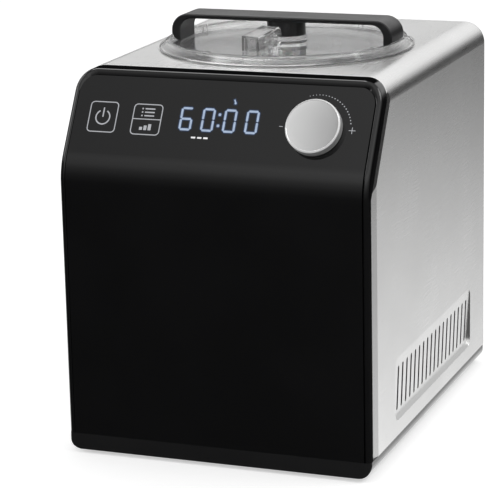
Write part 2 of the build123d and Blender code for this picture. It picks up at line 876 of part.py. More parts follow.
chute_rear = hatch_pivot - hatch_knuckle
chute_front = hatch_front - flap_wall - joint_gap
pin_centre = hatch_side.from_local_coords((-hatch_pivot, hinge_z, 0))
pin_plane = Plane(origin=pin_centre, x_dir=hatch_along, z_dir=hatch_across)
with BuildPart() as lid:
    add(
        turned(
            [
                (0, lid_disc_under),
                (0, hub_z),
                (lid_hub_radius, hub_z),
                (lid_hub_radius, lid_disc_top),
                (lid_crest_radius - lid_crest_width / 2, lid_disc_top),
                (lid_crest_radius - lid_crest_width / 2, crest_z),
                (lid_crest_radius + lid_crest_width / 2, crest_z),
                (lid_radius - lid_edge / 2, lid_base + lid_edge),
                (lid_radius, lid_base + lid_edge),
                (lid_radius, lid_base),
                (lid_radius - lid_wall, lid_base),
                (lid_crest_radius, crest_z - lid_wall),
                (lid_crest_radius, lid_disc_under),
                (lid_skirt_radius, lid_disc_under),
                (lid_skirt_radius, skirt_low),
                (lid_skirt_radius - lid_wall, skirt_low),
                (lid_skirt_radius - lid_wall, lid_disc_under),
                (lid_socket_radius, lid_disc_under),
                (lid_socket_radius, lid_disc_under - lid_socket_drop),
                (0, lid_disc_under - lid_socket_drop),
            ],
            [((lid_crest_radius + lid_crest_width / 2, crest_z), lid_crest_width)],
        )
    )
    with BuildSketch(level(lid_disc_under - lid_socket_drop)):
        Circle(paddle_pin_radius + clear)
    extrude(amount=socket_top - lid_disc_under + lid_socket_drop, mode=Mode.SUBTRACT)
    with Locations(level((lid_disc_top + crest_z) / 2)):
        with PolarLocations(lid_crest_radius - lid_crest_width, lid_tab_count, start_angle=22.5):
            Box(lid_tab[0], lid_tab[1], crest_z - lid_disc_top)
    add(hatch_block(chute_front, chute_rear, 0, lid_disc_under, hinge_z + 2 * flap_tail))
    add(roof_cut(flap_plate + joint_gap), mode=Mode.SUBTRACT)
    with BuildSketch(hatch_side):
        Polygon(
            (-hatch_pivot - hatch_knuckle * 0.7, hinge_z + 3 * hatch_knuckle),
            (-hatch_pivot - hatch_knuckle * 0.7, hinge_z + 1.1 * hatch_knuckle),
            (-chute_rear, hinge_z + hatch_knuckle / 2),
            (-chute_rear, hinge_z + 3 * hatch_knuckle),
            align=None,
        )
    extrude(amount=hatch_half, both=True, mode=Mode.SUBTRACT)
    chute_in = chute_front - hatch_wall
    chute_out = hatch_pivot + hatch_knuckle
    add(hatch_block(chute_in, chute_out, -hatch_wall, skirt_low, crest_z + hatch_front), mode=Mode.SUBTRACT)
    with BuildSketch(pin_plane):
        Circle(hatch_pin_radius)
    extrude(amount=hatch_front, both=True, mode=Mode.SUBTRACT)
keep(lid, "lid")

gasket_inner = lid_skirt_radius
with BuildPart() as lid_gasket:
    add(
        turned(
            [
                (gasket_inner, skirt_low),
                (gasket_inner, skirt_low + gasket_height),
                (gasket_inner + gasket_width / 2, skirt_low + gasket_height),
                (gasket_inner + gasket_width, skirt_low + gasket_height / 2),
                (gasket_inner + gasket_width / 2, skirt_low),
            ]
        )
    )
keep(lid_gasket, "lid_gasket")

# ------------------------------------------------------------------ handle on the lid
handle_top = body_top + handle_rise
leg_foot = lid_disc_top
leg_inner = handle_half - leg_thick
with BuildPart() as lid_handle:
    with BuildSketch(well_section):
        Polygon(
            (-handle_half, leg_foot),
            (-handle_half, handle_top),
            (handle_half, handle_top),
            (handle_half, leg_foot),
            align=None,
        )
        fillet(vertices().group_by(Axis.Y)[-1], handle_bend)
        fillet(vertices().group_by(Axis.Y)[0], handle_toe)
        with BuildLine():
            FilletPolyline(
                (-leg_inner, leg_foot - 1),
                (-leg_inner, handle_top - strap_thick),
                (leg_inner, handle_top - strap_thick),
                (leg_inner, leg_foot - 1),
                radius=handle_bend - strap_thick,
            )
            Line((leg_inner, leg_foot - 1), (-leg_inner, leg_foot - 1))
        make_face(mode=Mode.SUBTRACT)
    extrude(amount=handle_width / 2, both=True)
    broad_faces = faces().filter_by(Axis.Y)
    chamfer(broad_faces.edges().filter_by(lambda e: e.center().Z > leg_foot + 1), handle_edge)
    with BuildSketch(level(hub_z)):
        Circle(post_radius)
    extrude(amount=handle_top - strap_thick - hub_z)
    with BuildSketch(level(leg_foot)):
        Circle(lid_radius)
        Circle(lid_crest_radius - lid_crest_width / 2 - joint_gap, mode=Mode.SUBTRACT)
    extrude(amount=crest_z + joint_gap - leg_foot, mode=Mode.SUBTRACT)
keep(lid_handle, "lid_handle")

# ------------------------------------------------------------------ ingredient hatch
flap_high = hinge_z + 2 * flap_tail
with BuildPart() as flap_hollow:
    add(hatch_block(hatch_front - flap_wall, hatch_pivot - 2 * flap_tail, clear, 0, flap_high))
    add(roof_cut(flap_plate), mode=Mode.SUBTRACT)
with BuildPart() as hatch_flap:
    add(hatch_block(hatch_front, hatch_pivot - flap_tail, clear + flap_wall, lid_disc_top + clear, flap_high))
    add(roof_cut(0), mode=Mode.SUBTRACT)
    add(flap_hollow.part, mode=Mode.SUBTRACT)
    with BuildSketch(pin_plane):
        Circle(flap_tail)
        with Locations((-hatch_front, 0)):
            Rectangle(2 * hatch_front, 4 * flap_tail)
    extrude(amount=hatch_front, both=True, mode=Mode.INTERSECT)
    with BuildSketch(pin_plane):
        Circle(hatch_pin_radius + running)
    extrude(amount=hatch_front, both=True, mode=Mode.SUBTRACT)
keep(hatch_flap, "hatch_flap")

pin_half = hatch_half + clear + flap_wall + joint_gap
with BuildPart() as hatch_pin:
    with BuildSketch(pin_plane):
        Circle(hatch_pin_radius)
    extrude(amount=pin_half, both=True)
keep(hatch_pin, "hatch_pin")

# ------------------------------------------------------------------ deck that carries the drum
deck_length = body_depth - deck_from_front - deck_from_rear
deck_middle = (0.0, (deck_from_front - deck_from_rear) / 2)
with BuildPart() as drum_deck:
    with BuildSketch(level(deck_under)):
        with Locations((deck_middle[0], deck_middle[1] - well_y)):
            RectangleRounded(body_width - 2 * deck_from_side, deck_length, leg_radius)
        Circle(bush_flange + joint_gap, mode=Mode.SUBTRACT)
        with Locations(suction_riser, return_riser):
            Circle(riser_bore, mode=Mode.SUBTRACT)
    extrude(amount=deck_thick)
    with BuildSketch(Plane.XY.offset(base_floor)):
        with Locations(deck_middle):
            with GridLocations(body_width - 2 * (deck_from_side + leg_radius), deck_length - 2 * leg_radius, 2, 2):
                Circle(leg_radius)
    extrude(amount=deck_under - base_floor)
keep(drum_deck, "drum_deck")

# ------------------------------------------------------------------ spindle, its bushes and seal
with BuildPart() as drive_spindle:
    with BuildSketch(level(box_under)):
        Circle(spindle_radius)
    extrude(amount=hex_low - clear - box_under)
    with BuildSketch(level(hex_low - clear)):
        RegularPolygon(spindle_hex / 2, 6, major_radius=False)
    extrude(amount=hex_high - hex_low + clear)
keep(drive_spindle, "drive_spindle")

bush_low = deck_under
with BuildPart() as drum_bush:
    add(
        turned(
            [
                (bush_bore, bush_low),
                (bush_bore, drum_floor),
                (bush_radius, drum_floor),
                (bush_radius, drum_under),
                (bush_flange, drum_under),
                (bush_flange, bush_low),
            ]
        )
    )
keep(drum_bush, "drum_bush")

with BuildPart() as spindle_seal:
    add(
        turned(
            [
                (bush_bore, drum_floor),
                (bush_bore, drum_floor + seal_height),
                (spindle_radius + 2 * running + bowl_gap / 2, drum_floor + seal_height),
                (seal_radius, drum_floor + bowl_gap / 2),
                (seal_radius, drum_floor),
            ]
        )
    )
keep(spindle_seal, "spindle_seal")


# ------------------------------------------------------------------ gear train
def gear_radius(teeth):
    """Pitch radius."""
    return gear_module * teeth / 2


def gear_points(teeth, first_tooth):
    """Corners of a spur gear's outline; first_tooth is the heading of one tooth, in degrees."""
    pitch = gear_radius(teeth)
    tip = pitch + tooth_rise * gear_module
    root = pitch - tooth_drop * gear_module
    half_tooth = tooth_fill * pi * gear_module / 4
    flank = tan(radians(pressure_angle))
    at_tip = (half_tooth - tooth_rise * gear_module * flank) / tip
    at_root = (half_tooth + tooth_drop * gear_module * flank) / root
    points = []
    for k in range(teeth):
        middle = radians(first_tooth) + 2 * pi * k / teeth
        for radius, turn in ((root, -at_root), (tip, -at_tip), (tip, at_tip), (root, at_root)):
            points.append((radius * cos(middle + turn), radius * sin(middle + turn)))
    return points


def from_place(place, distance, heading):
    """Point at a distance and heading from another."""
    return (place[0] + distance * cos(radians(heading)), place[1] + distance * sin(radians(heading)))


spindle_place = (0.0, well_y)
idler_place = from_place(spindle_place, gear_radius(drive_teeth) + gear_radius(idler_small_teeth), idler_heading)
motor_place = from_place(idler_place, gear_radius(idler_big_teeth) + gear_radius(pinion_teeth), motor_heading)
low_gears = box_floor + gear_level
high_gears = low_gears + gear_face + gear_step


def gear(teeth, place, height, first_tooth, bore):
    """Spur gear standing at a place, with its bore."""
    with BuildPart() as wheel:
        with BuildSketch(Plane(origin=(place[0], place[1], height))):
            Polygon(*gear_points(teeth, first_tooth), align=None)
            Circle(bore, mode=Mode.SUBTRACT)
        extrude(amount=gear_face)
    return wheel.part


with BuildPart() as drive_gear:
    add(gear(drive_teeth, spindle_place, low_gears, idler_heading, spindle_radius))
    with BuildSketch(level(low_gears)):
        with PolarLocations(gear_radius(drive_teeth) / 2 + spindle_radius / 3, lightening_holes):
            Circle(gear_radius(drive_teeth) / 6)
    extrude(amount=gear_face, mode=Mode.SUBTRACT)
keep(drive_gear, "drive_gear")

small_gap = idler_heading + 180 + 180 / idler_small_teeth
idler_bore = axle_radius + running
with BuildPart() as idler_gear:
    add(gear(idler_small_teeth, idler_place, low_gears, small_gap, idler_bore))
    add(gear(idler_big_teeth, idler_place, high_gears, motor_heading, idler_bore))
    with BuildSketch(Plane(origin=(idler_place[0], idler_place[1], low_gears + gear_face))):
        Circle(gear_radius(idler_small_teeth) - 2 * gear_module)
        Circle(idler_bore, mode=Mode.SUBTRACT)
    extrude(amount=gear_step)
keep(idler_gear, "idler_gear")

with BuildPart() as motor_pinion:
    add(gear(pinion_teeth, motor_place, high_gears, motor_heading + 180 + 180 / pinion_teeth, axle_radius))
keep(motor_pinion, "motor_pinion")

motor_top = box_under
with BuildPart() as motor_shaft:
    with BuildSketch(Plane(origin=(motor_place[0], motor_place[1], motor_top - motor_height / 2))):
        Circle(axle_radius)
    extrude(amount=high_gears + gear_face + shaft_past_pinion - motor_top + motor_height / 2)
keep(motor_shaft, "motor_shaft")

with BuildPart() as idler_axle:
    with BuildSketch(Plane(origin=(idler_place[0], idler_place[1], box_floor))):
        Circle(axle_radius)
    extrude(amount=box_height)
keep(idler_axle, "idler_axle")


def box_outline(grow):
    """Outline round the three gear centres."""
    with BuildSketch() as outline:
        for place, radius in (
            (spindle_place, gear_radius(drive_teeth)),
            (idler_place, gear_radius(idler_big_teeth)),
            (motor_place, gear_radius(pinion_teeth) + 2 * gear_module),
        ):
            with Locations(place):
                Circle(radius + 2 * gear_module + grow)
        make_hull()
    return outline.sketch


with BuildPart() as gear_box:
    with BuildSketch(Plane.XY.offset(box_under)):
        add(box_outline(box_wall))
        with Locations(spindle_place):
            Circle(spindle_radius + running, mode=Mode.SUBTRACT)
        with Locations(motor_place):
            Circle(2 * axle_radius, mode=Mode.SUBTRACT)
    extrude(amount=box_wall)
    with BuildSketch(Plane.XY.offset(box_floor)):
        add(box_outline(box_wall))
        add(box_outline(0), mode=Mode.SUBTRACT)
    extrude(amount=box_height)
keep(gear_box, "gear_box")

with BuildPart() as gear_box_lid:
    with BuildSketch(Plane.XY.offset(box_lid_under)):
        add(box_outline(box_wall))
        with Locations(spindle_place):
            Circle(bush_flange / 2, mode=Mode.SUBTRACT)
    extrude(amount=box_wall)
keep(gear_box_lid, "gear_box_lid")

with BuildPart() as mixer_motor:
    with BuildSketch(Plane(origin=(motor_place[0], motor_place[1], motor_top - motor_height))):
        Circle(motor_radius)
    extrude(amount=motor_height)
    chamfer(edges().filter_by(GeomType.CIRCLE).group_by(Axis.Z)[0], bowl_floor_round / 2)
    with BuildSketch(Plane(origin=(motor_place[0], motor_place[1], motor_top - motor_height / 2))):
        Circle(axle_radius + running)
    extrude(amount=motor_height, mode=Mode.SUBTRACT)
keep(mixer_motor, "mixer_motor")

# ------------------------------------------------------------------ compressor on its rubber mounts
plate_low = base_floor + mount_height
can_low = plate_low + plate_thick
can_top = box_under - compressor_gap
can_middle = (can_low + can_top) / 2
stub_top = can_top + stub_rise
compressor_place = (compressor_from_side - half_width, rear_y - compressor_from_rear)
suction_stub = (compressor_place[0] + suction_stub_offset[0], compressor_place[1] + suction_stub_offset[1])
discharge_stub = (compressor_place[0] + discharge_stub_offset[0], compressor_place[1] + discharge_stub_offset[1])
mount_side = mount_ring * cos(pi / 4)
dome = compressor_radius / 3


def compressor_plane(height):
    """Horizontal plane through the compressor's axis."""
    return Plane(origin=(compressor_place[0], compressor_place[1], height))


with BuildPart() as compressor:
    with BuildSketch(compressor_plane(plate_low)):
        RectangleRounded(2 * (mount_side + mount_radius), 2 * (mount_side + mount_radius), mount_radius)
    extrude(amount=plate_thick)
    with BuildSketch(compressor_plane(can_low)):
        Circle(compressor_radius)
    extrude(amount=can_top - can_low)
    fillet(edges().filter_by(GeomType.CIRCLE).sort_by(Axis.Z)[-1], dome)
    with BuildSketch(compressor_plane(can_middle)):
        Circle(compressor_radius + compressor_flange)
    extrude(amount=compressor_flange)
    with BuildSketch(Plane.XY.offset(can_middle)):
        with Locations(suction_stub, discharge_stub):
            Circle(stub_radius)
    extrude(amount=stub_top - can_middle)
keep(compressor, "compressor")

with BuildPart() as compressor_mounts:
    with BuildSketch(compressor_plane(base_floor)):
        with GridLocations(2 * mount_side, 2 * mount_side, 2, 2):
            Circle(mount_radius)
    extrude(amount=mount_height)
    with BuildSketch(compressor_plane(base_floor + mount_height / 3)):
        with GridLocations(2 * mount_side, 2 * mount_side, 2, 2):
            Circle(mount_radius)
            Circle(mount_radius * 0.75, mode=Mode.SUBTRACT)
    extrude(amount=mount_height / 3, mode=Mode.SUBTRACT)
keep(compressor_mounts, "compressor_mounts")

# ------------------------------------------------------------------ condenser
condenser_top = base_floor + condenser_height
condenser_x = half_width - condenser_from_side
condenser_ends = (front_y + condenser_from_front, rear_y - condenser_from_rear)
condenser_middle = (condenser_ends[0] + condenser_ends[1]) / 2
condenser_length = condenser_ends[1] - condenser_ends[0]
fin_pitch = (condenser_length - 2 * header_radius) / (fin_count + 1)
upper_stub_z = condenser_top - upper_stub_drop
lower_stub_z = base_floor + lower_stub_rise
with BuildPart() as condenser:
    with BuildSketch(Plane.XY.offset(base_floor)):
        with Locations(*[(condenser_x, y) for y in condenser_ends]):
            Circle(header_radius)
    extrude(amount=condenser_height)
    tube_pitch = condenser_height / flat_tubes
    with BuildSketch(Plane.XZ.offset(-condenser_ends[0])):
        with Locations((condenser_x, base_floor + condenser_height / 2)):
            with GridLocations(0, tube_pitch, 1, flat_tubes):
                Rectangle(condenser_thick * 0.8, flat_tube_thick)
    extrude(amount=-condenser_length)
    with Locations((condenser_x, condenser_middle, base_floor + condenser_height / 2)):
        with GridLocations(0, fin_pitch, 1, fin_count):
            Box(condenser_thick, fin_thick, condenser_height)
    for y, z, way in ((condenser_ends[1], upper_stub_z, -1), (condenser_ends[0], lower_stub_z, 1)):
        with BuildSketch(Plane.XZ.offset(-y)):
            with Locations((condenser_x, z)):
                Circle(stub_radius)
        extrude(amount=way * header_stub)
keep(condenser, "condenser")

# ------------------------------------------------------------------ fan
fan_z = base_floor + fan_size / 2
fan_face = condenser_x - condenser_thick / 2 - fan_from_condenser - fan_thick


def fan_plane(x):
    """Plane across the fan's axis."""
    return Plane(origin=(x, condenser_middle, fan_z), x_dir=(0, 1, 0), z_dir=(1, 0, 0))


with BuildPart() as fan_frame:
    with BuildSketch(fan_plane(fan_face)):
        RectangleRounded(fan_size, fan_size, 2 * fan_web)
        Circle(fan_bore, mode=Mode.SUBTRACT)
    extrude(amount=fan_thick)
    with BuildSketch(fan_plane(fan_face)):
        Circle(fan_hub)
        with PolarLocations(0, 4, start_angle=45):
            with Locations((fan_bore / 2 + fan_web / 2, 0)):
                Rectangle(fan_bore + fan_web, fan_web)
    extrude(amount=fan_web)
    with BuildSketch(fan_plane(fan_face - fan_web)):
        Circle(fan_pin_radius + running)
    extrude(amount=fan_web * 3, mode=Mode.SUBTRACT)
    with BuildSketch(fan_plane(fan_face - fan_web)):
        with GridLocations(fan_size - 4 * fan_web, fan_size - 4 * fan_web, 2, 2):
            Circle(screw_radius)
    extrude(amount=fan_thick * 2, mode=Mode.SUBTRACT)
keep(fan_frame, "fan_frame")

rotor_low = fan_face + fan_web + fan_gap
rotor_deep = fan_thick - fan_web - 2 * fan_gap
with BuildPart() as fan_rotor:
    with BuildSketch(fan_plane(rotor_low)):
        Circle(fan_hub)
    extrude(amount=rotor_deep)
    fillet(edges().filter_by(GeomType.CIRCLE).sort_by(Axis.X)[-1], fan_web / 2)
    with BuildSketch(fan_plane(fan_face)):
        Circle(fan_pin_radius)
    extrude(amount=fan_web + fan_gap)
    blade_reach = fan_blade_tip - fan_hub + fan_web
    with Locations(fan_plane(rotor_low + rotor_deep / 2)):
        with PolarLocations(fan_hub - fan_web + blade_reach / 2, fan_blades):
            Box(blade_reach, fan_blade_chord, fan_web / 2, rotation=(fan_blade_pitch, 0, 0))
keep(fan_rotor, "fan_rotor")

# ------------------------------------------------------------------ refrigerant pipes and drier
drier_place = (condenser_x - drier_from_condenser[0], condenser_ends[0] - drier_from_condenser[1])
with BuildPart() as filter_drier:
    with BuildSketch(Plane(origin=(drier_place[0], drier_place[1], drier_span[0]))):
        Circle(drier_radius)
    extrude(amount=drier_span[1] - drier_span[0])
    chamfer(edges().filter_by(GeomType.CIRCLE), drier_radius / 2)
keep(filter_drier, "filter_drier")


def pipe(points):
    """Round pipe along straight runs joined by bends."""
    first = points[0]
    way = Vector(*points[1]) - Vector(*first)
    with BuildPart() as run:
        with BuildLine():
            FilletPolyline(*points, radius=pipe_bend)
        with BuildSketch(Plane(origin=first, z_dir=way)):
            Circle(pipe_radius)
        sweep()
    return run.part


def from_well(place, height):
    """Point over a place given from the well's axis."""
    return (place[0], well_y + place[1], height)


suction_level = deck_under - pipe_bend - clear
pipe_level = suction_level - 2 * pipe_radius
front_bend_y = drier_place[1]
rear_bend_y = condenser_ends[1] + header_stub + crossing_gap
pipe_runs = {
    "suction_pipe": [
        (*suction_stub, stub_top),
        (*suction_stub, suction_level),
        from_well(suction_riser, suction_level),
        from_well(suction_riser, coil_low),
    ],
    "discharge_pipe": [
        (*discharge_stub, stub_top),
        (*discharge_stub, pipe_level),
        (condenser_x, rear_bend_y, pipe_level),
        (condenser_x, rear_bend_y, upper_stub_z),
        (condenser_x, condenser_ends[1] + header_stub, upper_stub_z),
    ],
    "liquid_pipe": [
        (condenser_x, condenser_ends[0] - header_stub, lower_stub_z),
        (condenser_x, front_bend_y, lower_stub_z),
        (*drier_place, lower_stub_z),
        (*drier_place, drier_span[0]),
    ],
    "return_pipe": [
        (*drier_place, drier_span[1]),
        (*drier_place, pipe_level),
        from_well(return_riser, pipe_level),
        from_well(return_riser, coil_low),
    ],
}
for pipe_name, pipe_points in pipe_runs.items():
    with BuildPart() as refrigerant_pipe:
        add(pipe(pipe_points))
    keep(refrigerant_pipe, pipe_name)

# ------------------------------------------------------------------ knob and its encoder
knob_centre = face_plane.from_local_coords((knob_place[0], knob_place[1], 0))
knob_section = Plane(origin=knob_centre, x_dir=(1, 0, 0), z_dir=(0, -sin(lean), -cos(lean)))
knob_axis = Axis(knob_centre, face_plane.z_dir)
knob_top = knob_lift + knob_height
shaft_top = knob_top - 2 * knob_chamfer
board_front = -panel_thick - board_gap
shaft_low = board_front + knob_chamfer
dish_edge = knob_radius - knob_chamfer
dish_radius = (dish_edge**2 + knob_dish**2) / (2 * knob_dish)
dish_centre = knob_top - knob_dish + dish_radius
with BuildPart() as control_knob:
    with BuildSketch(knob_section):
        with BuildLine():
            Polyline(
                (encoder_shaft_radius, shaft_top),
                (encoder_shaft_radius, knob_lift),
                (knob_radius, knob_lift),
                (knob_radius, knob_top - knob_chamfer),
                (dish_edge, knob_top),
            )
            ThreePointArc(
                (dish_edge, knob_top),
                (dish_edge / 2, dish_centre - sqrt(dish_radius**2 - dish_edge**2 / 4)),
                (0, knob_top - knob_dish),
            )
            Polyline((0, knob_top - knob_dish), (0, shaft_top), (encoder_shaft_radius, shaft_top))
        make_face()
    revolve(axis=knob_axis)
keep(control_knob, "control_knob")

with BuildPart() as encoder_shaft:
    with BuildSketch(knob_section):
        Polygon(
            (0, shaft_low),
            (0, shaft_top),
            (encoder_shaft_radius, shaft_top),
            (encoder_shaft_radius, shaft_low),
            align=None,
        )
    revolve(axis=knob_axis)
keep(encoder_shaft, "encoder_shaft")

with BuildPart() as knob_encoder:
    with BuildSketch(face_plane.offset(board_front)):
        with Locations(knob_place):
            Rectangle(encoder_size, encoder_size)
    extrude(amount=encoder_depth)
    with BuildSketch(face_plane.offset(shaft_low)):
        with Locations(knob_place):
            Circle(encoder_shaft_radius + running)
    extrude(amount=board_gap, mode=Mode.SUBTRACT)
keep(knob_encoder, "knob_encoder")

# ------------------------------------------------------------------ display and control board
board_middle = (0.0, knob_place[1])
standoff_grid = (board_size[0] - 4 * standoff_radius, board_size[1] - 4 * standoff_radius)
with BuildPart() as control_board:
    with BuildSketch(face_plane.offset(board_front - board_thick)):
        with Locations(board_middle):
            Rectangle(*board_size)
    extrude(amount=board_thick)
keep(control_board, "control_board")

with BuildPart() as board_standoffs:
    with BuildSketch(face_plane.offset(board_front)):
        with Locations(board_middle):
            with GridLocations(*standoff_grid, 2, 2):
                Circle(standoff_radius)
    extrude(amount=board_gap)
keep(board_standoffs, "board_standoffs")

with BuildPart() as display_module:
    with BuildSketch(face_plane.offset(board_front)):
        with Locations(display_place):
            Rectangle(*display_size)
    extrude(amount=board_gap)
keep(display_module, "display_module")

# ------------------------------------------------------------------ power board
power_plane = Plane(origin=(power_board_inset[0] - half_width, front_y + power_board_inset[1], base_floor))
power_grid = (power_board_size[0] - 3 * standoff_radius, power_board_size[1] - 3 * standoff_radius)
with BuildPart() as power_standoffs:
    with BuildSketch(power_plane):
        with GridLocations(*power_grid, 2, 2):
            Circle(standoff_radius)
    extrude(amount=power_lift)
keep(power_standoffs, "power_standoffs")

with BuildPart() as power_board:
    with BuildSketch(power_plane.offset(power_lift)):
        Rectangle(*power_board_size)
    extrude(amount=board_thick)
keep(power_board, "power_board")

with BuildPart() as power_components:
    with BuildSketch(power_plane.offset(power_lift + board_thick)):
        with Locations((0, transformer[0])):
            Rectangle(transformer[0], transformer[1])
    extrude(amount=transformer[2])
    with BuildSketch(power_plane.offset(power_lift + board_thick)):
        with Locations((0, -transformer[0] / 3)):
            with GridLocations(4 * capacitor_radius, 0, 2, 1):
                Circle(capacitor_radius)
    extrude(amount=transformer[2])
    with BuildSketch(power_plane.offset(power_lift + board_thick)):
        with Locations((0, -transformer[0])):
            Rectangle(heat_sink[0], heat_sink[1])
            with Locations((0, heat_sink[2] / 4)):
                with GridLocations(heat_sink[0] / 5, 0, 5, 1):
                    Rectangle(heat_sink[1] / 2, heat_sink[2] / 2)
    extrude(amount=heat_sink[2])
keep(power_components, "power_components")
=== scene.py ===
# %% [markdown]
# # A countertop ice cream maker
# The machine is a brushed steel wrap with a glossy black front that bends back near the top, a clear lid
# with a black strap handle, and a row of vents low on each side. The solid model is already made, at its
# real size, so it is loaded first and everything else is placed from it: the solids keep their places, and
# Blender adds the finishes, the fine edges and the printed and lit marks.

import json
from math import cos, degrees, pi, radians, sin

import bmesh
import bpy
from mathutils import Matrix, Vector


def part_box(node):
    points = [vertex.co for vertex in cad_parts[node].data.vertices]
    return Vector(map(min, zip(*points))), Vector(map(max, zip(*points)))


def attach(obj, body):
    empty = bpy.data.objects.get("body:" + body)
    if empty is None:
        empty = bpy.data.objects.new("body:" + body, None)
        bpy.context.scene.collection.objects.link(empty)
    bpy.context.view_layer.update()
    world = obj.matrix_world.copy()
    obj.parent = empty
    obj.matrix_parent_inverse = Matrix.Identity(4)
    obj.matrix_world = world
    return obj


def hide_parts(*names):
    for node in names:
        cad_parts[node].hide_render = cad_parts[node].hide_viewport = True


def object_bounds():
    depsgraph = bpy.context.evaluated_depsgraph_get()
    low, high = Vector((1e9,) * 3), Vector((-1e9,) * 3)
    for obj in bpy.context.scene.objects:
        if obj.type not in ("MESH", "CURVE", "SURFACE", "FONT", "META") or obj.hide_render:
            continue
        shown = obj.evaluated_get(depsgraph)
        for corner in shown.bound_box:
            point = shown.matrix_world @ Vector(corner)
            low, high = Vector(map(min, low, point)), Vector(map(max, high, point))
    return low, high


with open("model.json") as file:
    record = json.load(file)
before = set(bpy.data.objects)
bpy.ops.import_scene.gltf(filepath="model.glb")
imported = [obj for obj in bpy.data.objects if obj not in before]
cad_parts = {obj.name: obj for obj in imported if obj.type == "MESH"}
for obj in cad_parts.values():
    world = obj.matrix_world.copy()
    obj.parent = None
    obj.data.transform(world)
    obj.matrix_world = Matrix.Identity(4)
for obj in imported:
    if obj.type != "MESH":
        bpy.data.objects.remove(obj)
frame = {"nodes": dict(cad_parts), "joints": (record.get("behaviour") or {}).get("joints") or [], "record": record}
cad_low, cad_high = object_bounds()
MM = 0.001
print("solid model", [round(v / MM) for v in cad_high - cad_low], "mm,", len(frame["nodes"]), "nodes")

# %% [markdown]
# The panel leans back above a bend. The knob's joint already says where the knob's axis is and which way
# the leaning face looks, so the axes of that face come from the joint and need no measuring.

# %% Axes of the leaning face
joints = {joint["name"]: joint for joint in frame["joints"]}
panel_out = Vector(joints["knob_turn"]["axis"]).normalized()
panel_up = Vector((0, panel_out.z, -panel_out.y))
panel_across = Vector((1, 0, 0))
knob_centre = Vector(joints["knob_turn"]["pos_m"])
panel_low, panel_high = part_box("front_panel")
bend = knob_centre + panel_up * ((panel_low.y - knob_centre.y) / panel_up.y)
bend.x = 0
lean = degrees(panel_out.angle((0, -1, 0)))
print("lean", round(lean, 2), "degrees, bend at", round(bend.z / MM, 1), "mm")

# %% [markdown]
# The camera stands well back with a long lens, a little to the right and above, which keeps the uprights
# nearly parallel. It is turned by its yaw, its pitch and a slight roll about the point that it looks at.

# %% Camera
YAW, PITCH, ROLL = radians(21.04), radians(14.5), radians(-1.27)
STAND_OFF, FOCAL_LENGTH, SENSOR = 1.7591, 171.35, 36.0
aim = Vector((-1.5, -84.0, 153.3)) * MM
turn = Matrix.Rotation(YAW, 4, "Z") @ Matrix.Rotation(pi / 2 - PITCH, 4, "X") @ Matrix.Rotation(ROLL, 4, "Z")
lens = bpy.data.cameras.new("lens")
lens.lens, lens.sensor_width = FOCAL_LENGTH, SENSOR
camera = bpy.data.objects.new("camera", lens)
camera.matrix_world = Matrix.Translation(aim + turn.to_3x3() @ Vector((0, 0, STAND_OFF))) @ turn
bpy.context.scene.collection.objects.link(camera)
bpy.context.scene.camera = camera
print("camera stands at", [round(v, 3) for v in camera.matrix_world.translation])

# %% [markdown]
# The machine stands on a pale table in a white room. A plane far larger than the object serves as the
# table. Its colour is a plain diffuse white, so that it takes the object's shadow, with a little light of
# its own that only the camera sees, which lifts the lit part to the same white as the room behind it.

# %% Helper for node trees
def add(tree, kind, inputs=(), **settings):
    """Node with its settings, and its inputs set to values or joined to sockets."""
    made = tree.nodes.new(kind)
    for key, value in settings.items():
        setattr(made, key, value)
    for key, value in dict(inputs).items():
        if isinstance(value, bpy.types.NodeSocket):
            tree.links.new(value, made.inputs[key])
        else:
            made.inputs[key].default_value = value
    return made


def math(tree, operation, *terms):
    """Result of a Math node."""
    return add(tree, "ShaderNodeMath", enumerate(terms), operation=operation).outputs[0]


def remap(tree, value, low, high, to_low, to_high, smooth=False):
    """Value carried from one range to another, and held inside it."""
    kind = "SMOOTHSTEP" if smooth else "LINEAR"
    ends = {"Value": value, "From Min": low, "From Max": high, "To Min": to_low, "To Max": to_high}
    return add(tree, "ShaderNodeMapRange", ends, interpolation_type=kind).outputs["Result"]


def mix(tree, share, first, second):
    """Number between two others."""
    return add(tree, "ShaderNodeMix", {0: share, 2: first, 3: second}, data_type="FLOAT").outputs[0]


def band(tree, value, rise, fall):
    """One between two places along a value, nought outside; rise and fall are where each side fades."""
    rising = remap(tree, value, *rise, 0.0, 1.0, True)
    return math(tree, "MULTIPLY", rising, remap(tree, value, *fall, 1.0, 0.0, True))


def ramp(tree, value, stops, top=1.5):
    """Level read from (place, level) stops along a value that runs from -1 to 1; no level is over top."""
    node = add(tree, "ShaderNodeValToRGB", {0: remap(tree, value, -1.0, 1.0, 0.0, 1.0)})
    bar = node.color_ramp.elements
    while len(bar) < len(stops):
        bar.new(0.5)
    for stop, (place, level) in zip(bar, stops):
        stop.position = (place + 1) / 2
        stop.color = (level / top, level / top, level / top, 1)
    return math(tree, "MULTIPLY", node.outputs[0], top)


print("helpers for node trees ready")

# %% Table
TABLE_WHITE, TABLE_GLOW, TABLE_HALF = 0.82, 0.5, 4.0
table_finish = bpy.data.materials.new("table_white")
table_finish.use_nodes = True
tree = table_finish.node_tree
tree.nodes.clear()
paint = add(tree, "ShaderNodeBsdfDiffuse", {"Color": (TABLE_WHITE, TABLE_WHITE, TABLE_WHITE, 1)})
glow = add(tree, "ShaderNodeEmission", {"Color": (1, 1, 1, 1), "Strength": TABLE_GLOW})
seen = add(tree, "ShaderNodeLightPath").outputs["Is Camera Ray"]
nothing = add(tree, "ShaderNodeEmission", {"Strength": 0})
lifted = add(tree, "ShaderNodeMixShader", {0: seen, 1: nothing.outputs[0], 2: glow.outputs[0]})
both = add(tree, "ShaderNodeAddShader", {0: paint.outputs[0], 1: lifted.outputs[0]})
add(tree, "ShaderNodeOutputMaterial", {"Surface": both.outputs[0]})

